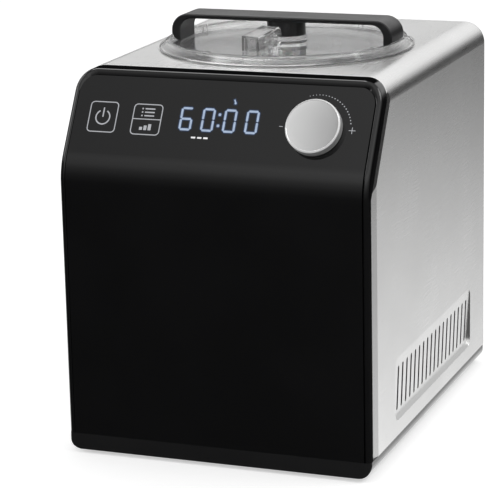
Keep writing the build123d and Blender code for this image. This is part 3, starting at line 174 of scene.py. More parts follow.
bm = bmesh.new()
bmesh.ops.create_grid(bm, x_segments=1, y_segments=1, size=TABLE_HALF)
table_mesh = bpy.data.meshes.new("table")
bm.to_mesh(table_mesh)
bm.free()
table_mesh.materials.append(table_finish)
table = bpy.data.objects.new("table", table_mesh)
bpy.context.scene.collection.objects.link(table)
table.visible_glossy = False
print("table", 2 * TABLE_HALF, "m square")

# %% [markdown]
# Glossy black plastic and brushed steel show what stands around them, so the room matters as much as the
# lamps. The camera sees plain white. What the shiny pieces see goes by direction. In front the room is
# nearly black at the floor, white above eye level and a little greyer overhead. Behind it is pale at the
# floor, dark just above that and white higher up, and it goes dark towards the far right. One narrow strip
# lamp hangs overhead: only mirrors show it, as the fine light line along the top of the frame.

# %% Levels of the room
FRONT_LEVELS = (
    (-0.30, 0.055), (-0.10, 0.075), (0.10, 0.20), (0.30, 0.48),
    (0.45, 0.85), (0.60, 0.98), (0.69, 0.74), (0.80, 0.78),
)
REAR_LEVELS = (
    (-0.36, 1.26), (-0.25, 0.72), (-0.16, 0.11), (0.04, 0.03),
    (0.13, 0.22), (0.24, 1.03), (0.45, 1.08), (0.80, 0.70),
)
FRONT_TO_REAR, REAR_RIGHT, FRONT_LEFT = (-0.20, 0.45), (0.50, 0.72), (-0.55, -0.15)
STRIP_LIGHT = 5.0
STRIP_ACROSS = ((-0.62, -0.56), (-0.22, -0.14))
STRIP_ALONG = ((-0.06, 0.02), (0.22, 0.34))
STRIP_UP = (0.70, 0.80)
ROOM_LIGHT = 0.62
print(len(FRONT_LEVELS), "levels in front,", len(REAR_LEVELS), "behind")

# %% Room
world = bpy.data.worlds.new("room")
bpy.context.scene.world = world
world.use_nodes = True
tree = world.node_tree
tree.nodes.clear()
way = add(tree, "ShaderNodeTexCoord").outputs["Generated"]
axes = add(tree, "ShaderNodeSeparateXYZ", {"Vector": way})
rear = remap(tree, axes.outputs["Y"], *FRONT_TO_REAR, 0.0, 1.0, True)
in_front = ramp(tree, axes.outputs["Z"], FRONT_LEVELS)
flank = remap(tree, axes.outputs["X"], *REAR_RIGHT, 1.0, 0.10, True)
behind = math(tree, "MULTIPLY", ramp(tree, axes.outputs["Z"], REAR_LEVELS), flank)
sideways = remap(tree, axes.outputs["X"], *FRONT_LEFT, 0.42, 1.34)
round_about = mix(tree, rear, math(tree, "MULTIPLY", in_front, sideways), behind)
strip_x = band(tree, axes.outputs["X"], *STRIP_ACROSS)
strip_y = band(tree, axes.outputs["Y"], *STRIP_ALONG)
overhead = remap(tree, axes.outputs["Z"], *STRIP_UP, 0.0, 1.0, True)
strip = math(tree, "MULTIPLY", math(tree, "MULTIPLY", strip_x, strip_y), overhead)
mirrored = math(tree, "ADD", round_about, math(tree, "MULTIPLY", strip, STRIP_LIGHT))
path = add(tree, "ShaderNodeLightPath")
shown = math(tree, "MAXIMUM", path.outputs["Is Camera Ray"], path.outputs["Is Transmission Ray"])
level = math(tree, "MAXIMUM", mix(tree, path.outputs["Is Glossy Ray"], ROOM_LIGHT, mirrored), shown)
backdrop = add(tree, "ShaderNodeBackground", {"Color": (1, 1, 1, 1), "Strength": level})
add(tree, "ShaderNodeOutputWorld", {"Surface": backdrop.outputs[0]})
bpy.context.scene.view_settings.view_transform = "Standard"
print("room of", len(tree.nodes), "nodes")

# %% [markdown]
# Two large soft lamps finish the light: a wide one high on the right, which rounds the lid and the handle,
# and a weaker one on the left that keeps the far side of the steel from going grey.

# %% Lamps
def soft_lamp(name, place, target, width, height, power):
    """Rectangular lamp that looks at a target; places in metres, power in watts."""
    light = bpy.data.lights.new(name, "AREA")
    light.shape, light.size, light.size_y, light.energy = "RECTANGLE", width, height, power
    lamp = bpy.data.objects.new(name, light)
    look = Vector(target) - Vector(place)
    lamp.matrix_world = Matrix.Translation(place) @ look.to_track_quat("-Z", "Y").to_matrix().to_4x4()
    bpy.context.scene.collection.objects.link(lamp)
    return lamp


middle = (cad_low + cad_high) / 2
soft_lamp("lamp_right", (1.5, 0.3, 1.9), middle, 1.4, 1.0, 16)
soft_lamp("lamp_left", (-1.6, -0.6, 1.3), middle, 1.0, 1.0, 6)
print("two lamps")

# %% [markdown]
# Effects that several finishes share are made once, as shader groups. Each gives only a number or a colour
# that changes over the surface, so each finish still owns its shader and its fixed values.

# %% Helpers for groups
def new_group(name, inputs, outputs):
    """Shader group with its named sockets; returns its tree, its input node and its output node."""
    tree = bpy.data.node_groups.new(name, "ShaderNodeTree")
    for label, kind, value in inputs:
        socket = tree.interface.new_socket(label, in_out="INPUT", socket_type="NodeSocket" + kind)
        socket.default_value = value
    for label, kind in outputs:
        tree.interface.new_socket(label, in_out="OUTPUT", socket_type="NodeSocket" + kind)
    return tree, tree.nodes.new("NodeGroupInput"), tree.nodes.new("NodeGroupOutput")


def noise(tree, where, scale, detail=2.0, rough=0.5):
    """Value of a noise texture."""
    asked = {"Vector": where, "Scale": scale, "Detail": detail, "Roughness": rough}
    return add(tree, "ShaderNodeTexNoise", asked).outputs[0]


print("helpers for groups ready")

# %% Grain of brushed metal, and skin of moulded plastic
grain_group, asked, given = new_group(
    "brushed_grain",
    (("Lines", "Vector", (40, 3200, 3200)), ("Tone Size", "Float", 14.0)),
    (("Grain", "Float"), ("Tone", "Float")),
)
place = add(grain_group, "ShaderNodeTexCoord").outputs["Object"]
drawn = add(
    grain_group, "ShaderNodeVectorMath", {0: place, 1: asked.outputs["Lines"]}, operation="MULTIPLY",
).outputs[0]
fine = noise(grain_group, drawn, 1.0, 4.0, 0.6)
broad = noise(grain_group, place, asked.outputs["Tone Size"], 3.0)
grain_group.links.new(fine, given.inputs["Grain"])
grain_group.links.new(broad, given.inputs["Tone"])

skin_group, asked, given = new_group(
    "moulded_skin",
    (("Grain Size", "Float", 1800.0), ("Flow Size", "Float", 60.0)),
    (("Height", "Float"),),
)
place = add(skin_group, "ShaderNodeTexCoord").outputs["Object"]
pits = noise(skin_group, place, asked.outputs["Grain Size"], 3.0, 0.55)
flow = noise(skin_group, place, asked.outputs["Flow Size"], 1.0)
height = math(skin_group, "ADD", math(skin_group, "MULTIPLY", pits, 0.35), flow)
skin_group.links.new(height, given.inputs["Height"])

print("groups for grain and skin")

# %% Roughness where hands touch, and a drifting colour
handled_group, asked, given = new_group(
    "handled",
    (("Clean", "Float", 0.08), ("Touched", "Float", 0.16), ("Size", "Float", 22.0)),
    (("Roughness", "Float"),),
)
place = add(handled_group, "ShaderNodeTexCoord").outputs["Object"]
smear = noise(handled_group, place, asked.outputs["Size"], 5.0, 0.62)
spot = noise(handled_group, place, 420.0, 2.0)
most, rest = math(handled_group, "MULTIPLY", smear, 0.8), math(handled_group, "MULTIPLY", spot, 0.2)
mixed = math(handled_group, "ADD", most, rest)
share = remap(handled_group, mixed, 0.35, 0.68, 0.0, 1.0, True)
span = math(handled_group, "SUBTRACT", asked.outputs["Touched"], asked.outputs["Clean"])
result = math(handled_group, "ADD", asked.outputs["Clean"], math(handled_group, "MULTIPLY", share, span))
handled_group.links.new(result, given.inputs["Roughness"])

shade_group, asked, given = new_group(
    "two_tone",
    (("Light", "Color", (1, 1, 1, 1)), ("Dark", "Color", (0.9, 0.9, 0.9, 1)), ("Size", "Float", 30.0)),
    (("Color", "Color"),),
)
place = add(shade_group, "ShaderNodeTexCoord").outputs["Object"]
patch = remap(shade_group, noise(shade_group, place, asked.outputs["Size"], 4.0), 0.35, 0.65, 0.0, 1.0, True)
blend = add(
    shade_group, "ShaderNodeMix",
    {"Factor": patch, 6: asked.outputs["Light"], 7: asked.outputs["Dark"]}, data_type="RGBA",
)
shade_group.links.new(blend.outputs[2], given.inputs["Color"])
print(len(bpy.data.node_groups), "groups")

# %% [markdown]
# Every finish starts in the same way: a colour that drifts a little over the piece, a roughness that is
# higher where hands touch it, and a shallow relief. Fixed facts, such as being a metal, sit on the shader
# itself.

# %% Helper for a finish
finishes = {}


def place_group(tree, group, **inputs):
    """Group node with its inputs set; underscores in the names stand for spaces."""
    node = tree.nodes.new("ShaderNodeGroup")
    node.node_tree = group
    for key, value in inputs.items():
        node.inputs[key.replace("_", " ")].default_value = value
    return node


def pale(colour, share):
    """Colour scaled by a share, with a full alpha."""
    return tuple(min(1.0, part * share) for part in colour[:3]) + (1,)


print("helpers for values of a finish ready")


# %% Making a finish
def finish(slot, colour, rough, relief=0.0, drift=0.9, metal=0.0, size=22.0, **fixed):
    """Finish of a slot: rough is its clean and touched roughness, relief the depth of its skin in mm."""
    made = bpy.data.materials.new(slot)
    made.use_nodes = True
    tree = made.node_tree
    shader = tree.nodes["Principled BSDF"]
    shader.inputs["Metallic"].default_value = metal
    for key, value in fixed.items():
        shader.inputs[key.replace("_", " ")].default_value = value
    tone = place_group(tree, shade_group, Light=pale(colour, 1), Dark=pale(colour, drift), Size=size)
    tree.links.new(tone.outputs["Color"], shader.inputs["Base Color"])
    touch = place_group(tree, handled_group, Clean=rough[0], Touched=rough[1], Size=size)
    tree.links.new(touch.outputs["Roughness"], shader.inputs["Roughness"])
    if relief:
        skin = place_group(tree, skin_group)
        raised = {"Strength": 0.5, "Distance": relief * MM, "Height": skin.outputs["Height"]}
        tree.links.new(add(tree, "ShaderNodeBump", raised).outputs[0], shader.inputs["Normal"])
    finishes[slot] = made
    return tree, shader


def tint(tree, shader, mask, colour):
    """Turns a finish's colour into another where the mask is one."""
    own = shader.inputs["Base Color"].links[0].from_socket
    mixed = add(tree, "ShaderNodeMix", {"Factor": mask, 6: own, 7: (*colour, 1)}, data_type="RGBA")
    tree.links.new(mixed.outputs[2], shader.inputs["Base Color"])


print("helpers for finishes ready")

# %% [markdown]
# The panel and its frame are polished black plastic under a hard clear coat. What shows is the room in that
# coat, over a nearly black base. The frame's narrow sides and top lie against the sheet and stay quite
# black, so the coat fades out where the normal points straight up or straight sideways.

# %% Black gloss
SIDE_FADE, TOP_FADE = (0.93, 0.985), (0.85, 0.89)
tree, shader = finish(
    "black_gloss", (0.0045, 0.0045, 0.0048), (0.3, 0.42), 0.0, 0.8, size=16.0,
    Specular_IOR_Level=0.0, Coat_Roughness=0.04, Coat_IOR=1.5,
)
facing = add(tree, "ShaderNodeSeparateXYZ", {"Vector": add(tree, "ShaderNodeTexCoord").outputs["Normal"]})
side_on = remap(tree, math(tree, "ABSOLUTE", facing.outputs["X"]), *SIDE_FADE, 1.0, 0.02, True)
top_on = remap(tree, facing.outputs["Z"], *TOP_FADE, 1.0, 0.0, True)
tree.links.new(math(tree, "MULTIPLY", side_on, top_on), shader.inputs["Coat Weight"])
print("black gloss of", len(tree.nodes), "nodes")

# %% [markdown]
# The other plastics and rubbers differ in colour, gloss and the depth of their skin: the base is a softer
# gloss, the handle and the hidden mouldings a fine satin, the foam and the rubber are matt and pitted.

# %% Plastics and rubber
finish("base_plastic", (0.013, 0.013, 0.0135), (0.16, 0.26), 0.02, 0.85)
finish("black_satin", (0.013, 0.013, 0.0135), (0.30, 0.40), 0.02, 0.8, IOR=1.42)
finish("rubber_black", (0.018, 0.018, 0.018), (0.55, 0.75), 0.06, 0.8)
finish("rubber_clear", (0.72, 0.73, 0.73), (0.35, 0.5), 0.03, 0.95, Transmission_Weight=0.6, IOR=1.42)
finish(
    "paddle_plastic", (0.86, 0.86, 0.84), (0.28, 0.4), 0.03, 0.96,
    Subsurface_Weight=0.1, Subsurface_Scale=0.002,
)
finish("nylon", (0.83, 0.81, 0.74), (0.35, 0.5), 0.03, 0.95)
finish("foam", (0.84, 0.78, 0.58), (0.7, 0.9), 0.25, 0.85)
finish("fan_plastic", (0.03, 0.03, 0.032), (0.3, 0.42), 0.03, 0.85)
finish("board_green", (0.02, 0.16, 0.07), (0.25, 0.38), 0.03, 0.8, size=200.0)
finish("component_black", (0.045, 0.045, 0.05), (0.35, 0.5), 0.03, 0.7, size=120.0)
print(len(finishes), "finishes so far")

# %% [markdown]
# The lid and its hatch are clear plastic. Light has to get through them to the bowl, and a path tracer is
# slow to find its way through bent glass, so for shadow rays the plastic is nearly absent. A thin band at the
# bottom of the lid's rim is painted nearly black and made opaque: painted shade for the dark line that the
# rim's lower edge shows.

# %% Clear plastic
LID_ALPHA, SHADOW_ALPHA = 0.84, 0.05
PAINTED_RIM_SHADE, RIM_IN, RIM_UP = (0.03, 0.03, 0.03), (1.0, 0.7), (0.5, 0.7)
tree, shader = finish(
    "clear_plastic", (1.0, 1.0, 1.0), (0.01, 0.03), 0.004, 0.99, Transmission_Weight=1.0, IOR=1.45,
)
lid_low, lid_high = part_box("lid")
lid_centre = Vector(joints["paddle_spin"]["pos_m"])
lid_radius = (lid_high.x - lid_low.x) / 2
lid_points = [vert.co for vert in frame["nodes"]["lid"].data.vertices]
rim_low = min(point.z for point in lid_points if (point - lid_centre).xy.length > lid_radius - MM)
place = add(tree, "ShaderNodeTexCoord").outputs["Object"]
spread = add(tree, "ShaderNodeVectorMath", {0: place, 1: (1, 1, 0)}, operation="MULTIPLY").outputs[0]
level_centre = Vector((lid_centre.x, lid_centre.y, 0))
apart = add(tree, "ShaderNodeVectorMath", {0: spread, 1: level_centre}, operation="DISTANCE")
radius = apart.outputs["Value"]
height = add(tree, "ShaderNodeSeparateXYZ", {"Vector": place}).outputs["Z"]
# The rim's lowest outer band is painted near-black and made opaque: painted shade.
outermost = remap(tree, radius, lid_radius - RIM_IN[0] * MM, lid_radius - RIM_IN[1] * MM, 0.0, 1.0, True)
lowest = remap(tree, height, rim_low + RIM_UP[0] * MM, rim_low + RIM_UP[1] * MM, 1.0, 0.0, True)
painted_shade_rim_mask = math(tree, "MULTIPLY", outermost, lowest)
shading = add(tree, "ShaderNodeLightPath").outputs["Is Shadow Ray"]
seen_alpha = mix(tree, painted_shade_rim_mask, LID_ALPHA, 1.0)
tree.links.new(mix(tree, shading, seen_alpha, SHADOW_ALPHA), shader.inputs["Alpha"])
tint(tree, shader, painted_shade_rim_mask, PAINTED_RIM_SHADE)
print("lid rim at", round(rim_low / MM, 2), "mm, radius", round(lid_radius / MM, 1), "mm")

# %% [markdown]
# The metals differ in how they were worked. Drawn tube and bright pins only need a drifting roughness. The
# sheet round the machine is brushed from front to back, so its grain is a noise stretched a hundredfold
# along Y, which moves both the roughness and the relief.

# %% Metals
finish("steel_bright", (0.70, 0.70, 0.70), (0.14, 0.26), 0.01, 0.93, 1.0)
finish("bowl_aluminium", (0.80, 0.80, 0.81), (0.26, 0.33), 0.004, 0.97, 1.0)
finish("coil_aluminium", (0.68, 0.68, 0.69), (0.3, 0.45), 0.03, 0.9, 1.0)
finish("brass", (0.70, 0.52, 0.25), (0.2, 0.35), 0.02, 0.88, 1.0)
finish("copper", (0.78, 0.40, 0.26), (0.22, 0.4), 0.02, 0.8, 1.0, 60.0)
finish("galvanised", (0.58, 0.59, 0.60), (0.35, 0.5), 0.05, 0.78, 1.0, 160.0)
finish("black_paint", (0.012, 0.012, 0.013), (0.2, 0.34), 0.05, 0.8, 0.0, 90.0)


def brushed(slot, colour, rough, lines, depth):
    """Brushed metal: lines are the grain's waves per metre along X, Y and Z."""
    tree, shader = finish(slot, colour, rough, 0.0, 0.96, 1.0, 9.0)
    grain = place_group(tree, grain_group, Lines=lines)
    clean = remap(tree, grain.outputs["Grain"], 0.3, 0.7, rough[0], rough[1])
    cloud = remap(tree, grain.outputs["Tone"], 0.3, 0.7, -0.02, 0.02)
    for link in list(shader.inputs["Roughness"].links):
        tree.links.remove(link)
    tree.links.new(math(tree, "ADD", clean, cloud), shader.inputs["Roughness"])
    lines_cut = {"Strength": 0.35, "Distance": depth * MM, "Height": grain.outputs["Grain"]}
    tree.links.new(add(tree, "ShaderNodeBump", lines_cut).outputs[0], shader.inputs["Normal"])
    return tree, shader


print("metals made, and a helper for brushed ones")

# %% [markdown]
# The sheet's front edge, along the top of the frame, is painted white and made mostly non-metal: a painted
# highlight for the fine bright line that the edge shows. It is found by how far a point lies behind the leaning
# face.

# %% Brushed steel and a painted highlight on its front edge
HIGHLIGHT_START, HIGHLIGHT_FULL = -11.7, -11.3
tree, shader = brushed("brushed_steel", (0.80, 0.80, 0.795), (0.26, 0.33), (3600, 36, 3600), 0.006)
place = add(tree, "ShaderNodeTexCoord").outputs["Object"]
from_bend = add(tree, "ShaderNodeVectorMath", {0: place, 1: bend}, operation="SUBTRACT").outputs[0]
ahead = add(
    tree, "ShaderNodeVectorMath", {0: from_bend, 1: panel_out}, operation="DOT_PRODUCT",
).outputs["Value"]
# Painted highlight: the band along the front edge is turned white and mostly non-metal.
painted_edge_highlight = remap(tree, ahead, HIGHLIGHT_START * MM, HIGHLIGHT_FULL * MM, 0.0, 1.0, True)
tree.links.new(remap(tree, painted_edge_highlight, 0.0, 1.0, 1.0, 0.2), shader.inputs["Metallic"])
tint(tree, shader, painted_edge_highlight, (1, 1, 1))
print("brushed steel of", len(tree.nodes), "nodes")

# %% [markdown]
# Each solid takes the finish that the model's record names for it. The knob and its shaft get theirs
# further down, once the knob's axis has its own finish.

# %% Finishes on the solids
for entry in frame["record"]["subparts"]:
    if entry["material_slot"] not in finishes:
        continue
    for held in frame["nodes"][entry["node"]].material_slots:
        held.material = finishes[entry["material_slot"]]

# %% [markdown]
# The marks on the leaning face are thin plates laid on the gloss. They are drawn flat, in millimetres, with
# X across and Y up the face, and one matrix then carries the finished drawing onto the face.

# %% Helpers for flat marks
face_matrix = Matrix.Translation(bend) @ Matrix(
    ((panel_across.x, panel_up.x, panel_out.x, 0), (panel_across.y, panel_up.y, panel_out.y, 0),
     (panel_across.z, panel_up.z, panel_out.z, 0), (0, 0, 0, 1))
) @ Matrix.Scale(MM, 4)


def flat_plate(drawing, x, y, wide, tall, corner=0.0, steps=1, turn=0.0):
    """Plate with cut or rounded corners, turned by an angle in degrees."""
    bm = bmesh.new()
    bmesh.ops.create_grid(bm, x_segments=1, y_segments=1, size=0.5)
    bmesh.ops.scale(bm, vec=(wide, tall, 1), verts=bm.verts)
    if corner:
        bmesh.ops.bevel(
            bm, geom=list(bm.verts), offset=corner, segments=steps, profile=0.5, affect="VERTICES",
            material=-1, clamp_overlap=True,
        )
    if turn:
        bmesh.ops.rotate(bm, cent=(0, 0, 0), matrix=Matrix.Rotation(radians(turn), 3, "Z"), verts=bm.verts)
    stamp(bm, drawing, x, y)


def stamp(bm, drawing, x, y):
    """Moves a small shape to its place and merges it into a drawing."""
    bmesh.ops.translate(bm, vec=(x, y, 0), verts=bm.verts)
    scrap = bpy.data.meshes.new("scrap")
    bm.to_mesh(scrap)
    bm.free()
    drawing.from_mesh(scrap)
    bpy.data.meshes.remove(scrap)


def flat_ring(drawing, x, y, radius, line, start=0.0, sweep=360.0, steps=48):
    """Round line, whole or part: a short edge spun about the centre."""
    bm = bmesh.new()
    ends = [bm.verts.new((radius + side * line / 2, 0, 0)) for side in (-1, 1)]
    edge = bm.edges.new(ends)
    bmesh.ops.rotate(bm, cent=(0, 0, 0), matrix=Matrix.Rotation(radians(start), 3, "Z"), verts=bm.verts)
    bmesh.ops.spin(
        bm, geom=[edge, *ends], cent=(0, 0, 0), axis=(0, 0, 1), angle=radians(sweep), steps=steps,
        use_merge=sweep == 360.0,
    )
    stamp(bm, drawing, x, y)


def flat_frame(drawing, x, y, wide, tall, corner, line):
    """Rounded square line: a plate whose face is inset and taken out."""
    bm = bmesh.new()
    bmesh.ops.create_grid(bm, x_segments=1, y_segments=1, size=0.5)
    bmesh.ops.scale(bm, vec=(wide, tall, 1), verts=bm.verts)
    bmesh.ops.bevel(
        bm, geom=list(bm.verts), offset=corner, segments=6, profile=0.5, affect="VERTICES", material=-1,
        clamp_overlap=True,
    )
    inner = bm.faces[:]
    bmesh.ops.inset_region(bm, faces=inner, thickness=line, use_even_offset=True, use_boundary=True)
    bmesh.ops.delete(bm, geom=inner, context="FACES")
    stamp(bm, drawing, x, y)


print("plates, rings and frames can be drawn")


# %% From a drawing to a piece
def laid_on_face(drawing, name, material, lift, thick):
    """Gives a drawing its thickness, carries it onto the leaning face and finishes the piece."""
    bmesh.ops.recalc_face_normals(drawing, faces=drawing.faces)
    for face in drawing.faces:
        if face.normal.z < 0:
            face.normal_flip()
    raised = bmesh.ops.extrude_face_region(drawing, geom=drawing.faces[:])["geom"]
    tops = [part for part in raised if isinstance(part, bmesh.types.BMVert)]
    bmesh.ops.translate(drawing, vec=(0, 0, thick), verts=tops)
    bmesh.ops.translate(drawing, vec=(0, 0, lift), verts=drawing.verts)
    bmesh.ops.recalc_face_normals(drawing, faces=drawing.faces)
    bmesh.ops.transform(drawing, matrix=face_matrix, verts=drawing.verts)
    return as_piece(drawing, name, "housing", material)


def as_piece(bm, name, body, material, smooth=None):
    """Turns a bmesh into a piece that rides on a body; smooth is the angle under which edges are soft."""
    mesh = bpy.data.meshes.new(name)
    if smooth is not None:
        for face in bm.faces:
            face.smooth = True
        for edge in bm.edges:
            edge.smooth = not (edge.is_manifold and edge.calc_face_angle(0) > radians(smooth))
    bm.to_mesh(mesh)
    bm.free()
    mesh.materials.append(material)
    piece = bpy.data.objects.new(name, mesh)
    bpy.context.scene.collection.objects.link(piece)
    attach(piece, body)
    return piece


print("helpers for pieces ready")

# %% [markdown]
# The printed marks are a light grey ink that also glows a little of its own, which is painted light, and the
# lit ones glow a cool white from behind a smoked window. A lit segment of a real display has a dim blue rim
# where its light leaks into the window, so each drawing of lit segments is laid down twice: wide and dark blue
# first, then narrow and bright.

# %% Ink with a painted glow, and the display's light
def light_finish(name, colour, strength, base):
    """Glowing finish with a faint unevenness, over a dark base colour."""
    made = bpy.data.materials.new(name)
    made.use_nodes = True
    tree = made.node_tree
    shader = tree.nodes["Principled BSDF"]
    shader.inputs["Base Color"].default_value = (*base, 1)
    shader.inputs["Roughness"].default_value = 0.2
    shader.inputs["Emission Strength"].default_value = strength
    tone = place_group(tree, shade_group, Light=pale(colour, 1), Dark=pale(colour, 0.86), Size=260.0)
    tree.links.new(tone.outputs["Color"], shader.inputs["Emission Color"])
    return made


lit_white = light_finish("lit_white", (0.37, 0.47, 0.63), 1.0, (0.05, 0.05, 0.06))
lit_dash = light_finish("lit_dash", (0.92, 0.92, 0.92), 1.0, (0.05, 0.05, 0.06))
lit_halo = light_finish("lit_halo", (0.012, 0.030, 0.075), 1.0, (0.01, 0.01, 0.012))
# The ink has a small glow of its own: painted light.
ink_grey_glow = light_finish("ink_grey_glow", (0.30, 0.31, 0.33), 0.9, (0.25, 0.25, 0.26))
print("four finishes for the marks")

# %% [markdown]
# The display counts down from sixty minutes. Each digit is seven bars whose ends are cut, drawn from a
# table of the bars that a digit lights. All places are in millimetres from the middle of the bend: across,
# and up the face.

# %% Sizes of the display
DIGIT_WIDE, DIGIT_TALL, STROKE = 9.7, 18.0, 1.6
SEGMENT_GAP = 0.5
SHOWN, SEGMENTS = "6000", {"6": "acdefg", "0": "abcdef"}
DIGIT_LOW, DIGIT_LEFTS = 34.5, (-31.0, -14.0, 2.9, 20.0)
COLON_ACROSS, COLON_UPS, COLON_DOT = -0.7, (39.4, 48.0), 2.0
DASH_UP, DASHES = 29.4, (-18.2, -13.4, -8.6)
PLATE_LIFT, PLATE_THICK = 0.05, 0.02
print("digits of", DIGIT_WIDE, "by", DIGIT_TALL, "mm")


# %% Helpers for digits
def segment_place(name):
    """Middle of a segment in its digit, and whether it is level."""
    left, mid_x, right = STROKE / 2, DIGIT_WIDE / 2, DIGIT_WIDE - STROKE / 2
    low, mid, top = STROKE / 2, DIGIT_TALL / 2, DIGIT_TALL - STROKE / 2
    return {
        "a": (mid_x, top, True), "g": (mid_x, mid, True), "d": (mid_x, low, True),
        "b": (right, (mid + top) / 2, False), "c": (right, (low + mid) / 2, False),
        "f": (left, (mid + top) / 2, False), "e": (left, (low + mid) / 2, False),
    }[name]


def draw_digit(drawing, digit, x, y, grow=0.0):
    """Seven-segment digit whose lower left corner is at x, y."""
    for name in SEGMENTS[digit]:
        dx, dy, is_level = segment_place(name)
        reach = DIGIT_WIDE - STROKE if is_level else (DIGIT_TALL - STROKE) / 2
        size = (reach - SEGMENT_GAP, STROKE) if is_level else (STROKE, reach - SEGMENT_GAP)
        flat_plate(drawing, x + dx, y + dy, size[0] + grow, size[1] + grow, (STROKE + grow) * 0.4)


def draw_clock(drawing, grow=0.0):
    """The four digits, the colon between them and the small drop above."""
    for digit, left in zip(SHOWN, DIGIT_LEFTS):
        draw_digit(drawing, digit, left, DIGIT_LOW, grow)
    dot = COLON_DOT + grow
    for along in COLON_UPS:
        flat_plate(drawing, COLON_ACROSS, along, dot, dot, dot * 0.3, 2)
    flat_plate(drawing, 9.2, 59.0, 1.0 + grow, 2.6 + grow, 0.5, 3, turn=24)
    flat_plate(drawing, 9.8, 57.4, 1.6 + grow, 1.6 + grow, 0.7, 3)


print("digits light", {digit: len(bars) for digit, bars in SEGMENTS.items()}, "bars")

# %% Lit display
for name, material, grow, lift in (
    ("clock_glow", lit_halo, 1.5, PLATE_THICK), ("clock_segments", lit_white, 0.0, PLATE_LIFT),
):
    drawing = bmesh.new()
    draw_clock(drawing, grow)
    laid_on_face(drawing, name, material, lift, PLATE_THICK)
drawing = bmesh.new()
for across in DASHES:
    flat_plate(drawing, across, DASH_UP, 3.4, 1.3, 0.3, 2)
laid_on_face(drawing, "clock_dashes", lit_dash, PLATE_LIFT, PLATE_THICK)
print("display of", sum(len(SEGMENTS[digit]) for digit in SHOWN), "lit segments")

# %% [markdown]
# The two keys are touch fields behind the panel, so only their printed outlines show: a power sign, and a
# field that is split into a list and a row of rising bars.

# %% Power and menu keys
POWER_X, POWER_Y, MENU_X, MENU_Y = -92.2, 41.6, -57.1, 41.3
KEY_TALL, KEY_CORNER, KEY_LINE, INK_LIFT = 24.2, 3.2, 0.75, 0.03
drawing = bmesh.new()
flat_frame(drawing, POWER_X, POWER_Y, 22.6, KEY_TALL, KEY_CORNER, KEY_LINE)
flat_ring(drawing, POWER_X, POWER_Y - 0.2, 5.5, 1.0, 120, 300, 40)
flat_plate(drawing, POWER_X, POWER_Y + 3.6, 1.0, 7.4, 0.3, 2)
laid_on_face(drawing, "power_key_mark", ink_grey_glow, INK_LIFT, PLATE_THICK)

drawing = bmesh.new()
flat_frame(drawing, MENU_X, MENU_Y, 23.2, KEY_TALL, KEY_CORNER, KEY_LINE)
flat_plate(drawing, MENU_X, MENU_Y + 0.2, 21.8, 0.7)
for along in (49.6, 46.9, 44.2):
    flat_plate(drawing, MENU_X - 4.3, along, 1.2, 1.2, 0.3, 2)
    flat_plate(drawing, MENU_X + 1.5, along, 7.8, 1.0, 0.2, 1)
for bar, rise in enumerate((2.4, 3.6, 4.8)):
    flat_plate(drawing, MENU_X - 3.5 + 3.4 * bar, 33.0 + rise / 2, 2.4, rise, 0.2, 1)
laid_on_face(drawing, "menu_key_marks", ink_grey_glow, INK_LIFT, PLATE_THICK)
print("marks of the two keys")

# %% [markdown]
# A quarter turn of printed dots runs from above the knob down to a plus on its right, and a short minus is
# on its left. The dots grow a little towards the plus.

# %% Scale round the knob
SCALE_RADIUS, DOT_PITCH, DOT_COUNT, FIRST_DOT = 26.3, 5.3, 19, 108
SMALL_DOT, LARGE_DOT = 0.55, 0.90
knob_across, knob_along = knob_centre.x / MM, (knob_centre - bend).dot(panel_up) / MM
drawing = bmesh.new()
for step in range(DOT_COUNT):
    turn_by = radians(FIRST_DOT - DOT_PITCH * step)
    across = knob_across + SCALE_RADIUS * cos(turn_by)
    along = knob_along + SCALE_RADIUS * sin(turn_by)
    size = SMALL_DOT + (LARGE_DOT - SMALL_DOT) * min(1.0, step / 12)
    flat_plate(drawing, across, along, size, size, size * 0.3, 2)
flat_plate(drawing, knob_across - 26.2, knob_along + 0.8, 2.8, 0.45)
flat_plate(drawing, knob_across + 27.4, knob_along + 0.5, 5.0, 0.5)
flat_plate(drawing, knob_across + 27.4, knob_along + 0.5, 0.5, 5.0)
laid_on_face(drawing, "knob_scale", ink_grey_glow, INK_LIFT, PLATE_THICK)
print("scale of", DOT_COUNT, "dots round the knob")

# %% [markdown]
# The knob is a turned metal cap: a shallow dish with a fine spun grain, a cut ring round it and a
# satin side. A profile spun about the knob's axis gives all three. Its grain is a noise that changes only
# with the distance from that axis, and the same distance tells the finish where the ring and the side are.
# The ring is painted white and mostly non-metal, a painted highlight for the light its chamfer catches.

# %% Turned finish of the knob
knob_low, knob_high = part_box("control_knob")
knob_radius = (knob_high.x - knob_low.x) / 2
SPUN_LINES, RING_FROM, SIDE_FROM = 5200.0, (1.30, 1.20), (0.16, 0.05)
tree, shader = finish("knob_metal", (0.68, 0.68, 0.68), (0.18, 0.25), 0.0, 0.97, 1.0, 30.0)
place = add(tree, "ShaderNodeTexCoord").outputs["Object"]
centred = add(tree, "ShaderNodeMapping", {"Vector": place, "Location": -knob_centre}, vector_type="POINT")
off_axis = add(
    tree, "ShaderNodeVectorMath", {0: centred.outputs[0], 1: panel_out}, operation="CROSS_PRODUCT",
)
from_axis = add(tree, "ShaderNodeVectorMath", {0: off_axis.outputs[0]}, operation="LENGTH").outputs["Value"]
along_lines = math(tree, "MULTIPLY", from_axis, SPUN_LINES)
rings = add(
    tree, "ShaderNodeTexNoise", {"W": along_lines, "Scale": 1.0, "Detail": 3.0}, noise_dimensions="1D",
).outputs[0]
cut = add(tree, "ShaderNodeBump", {"Strength": 0.4, "Distance": 0.004 * MM, "Height": rings})
tree.links.new(cut.outputs[0], shader.inputs["Normal"])
on_side, on_ring = [
    remap(tree, from_axis, knob_radius - start * MM, knob_radius - end * MM, 0.0, 1.0)
    for start, end in (SIDE_FROM, RING_FROM)
]
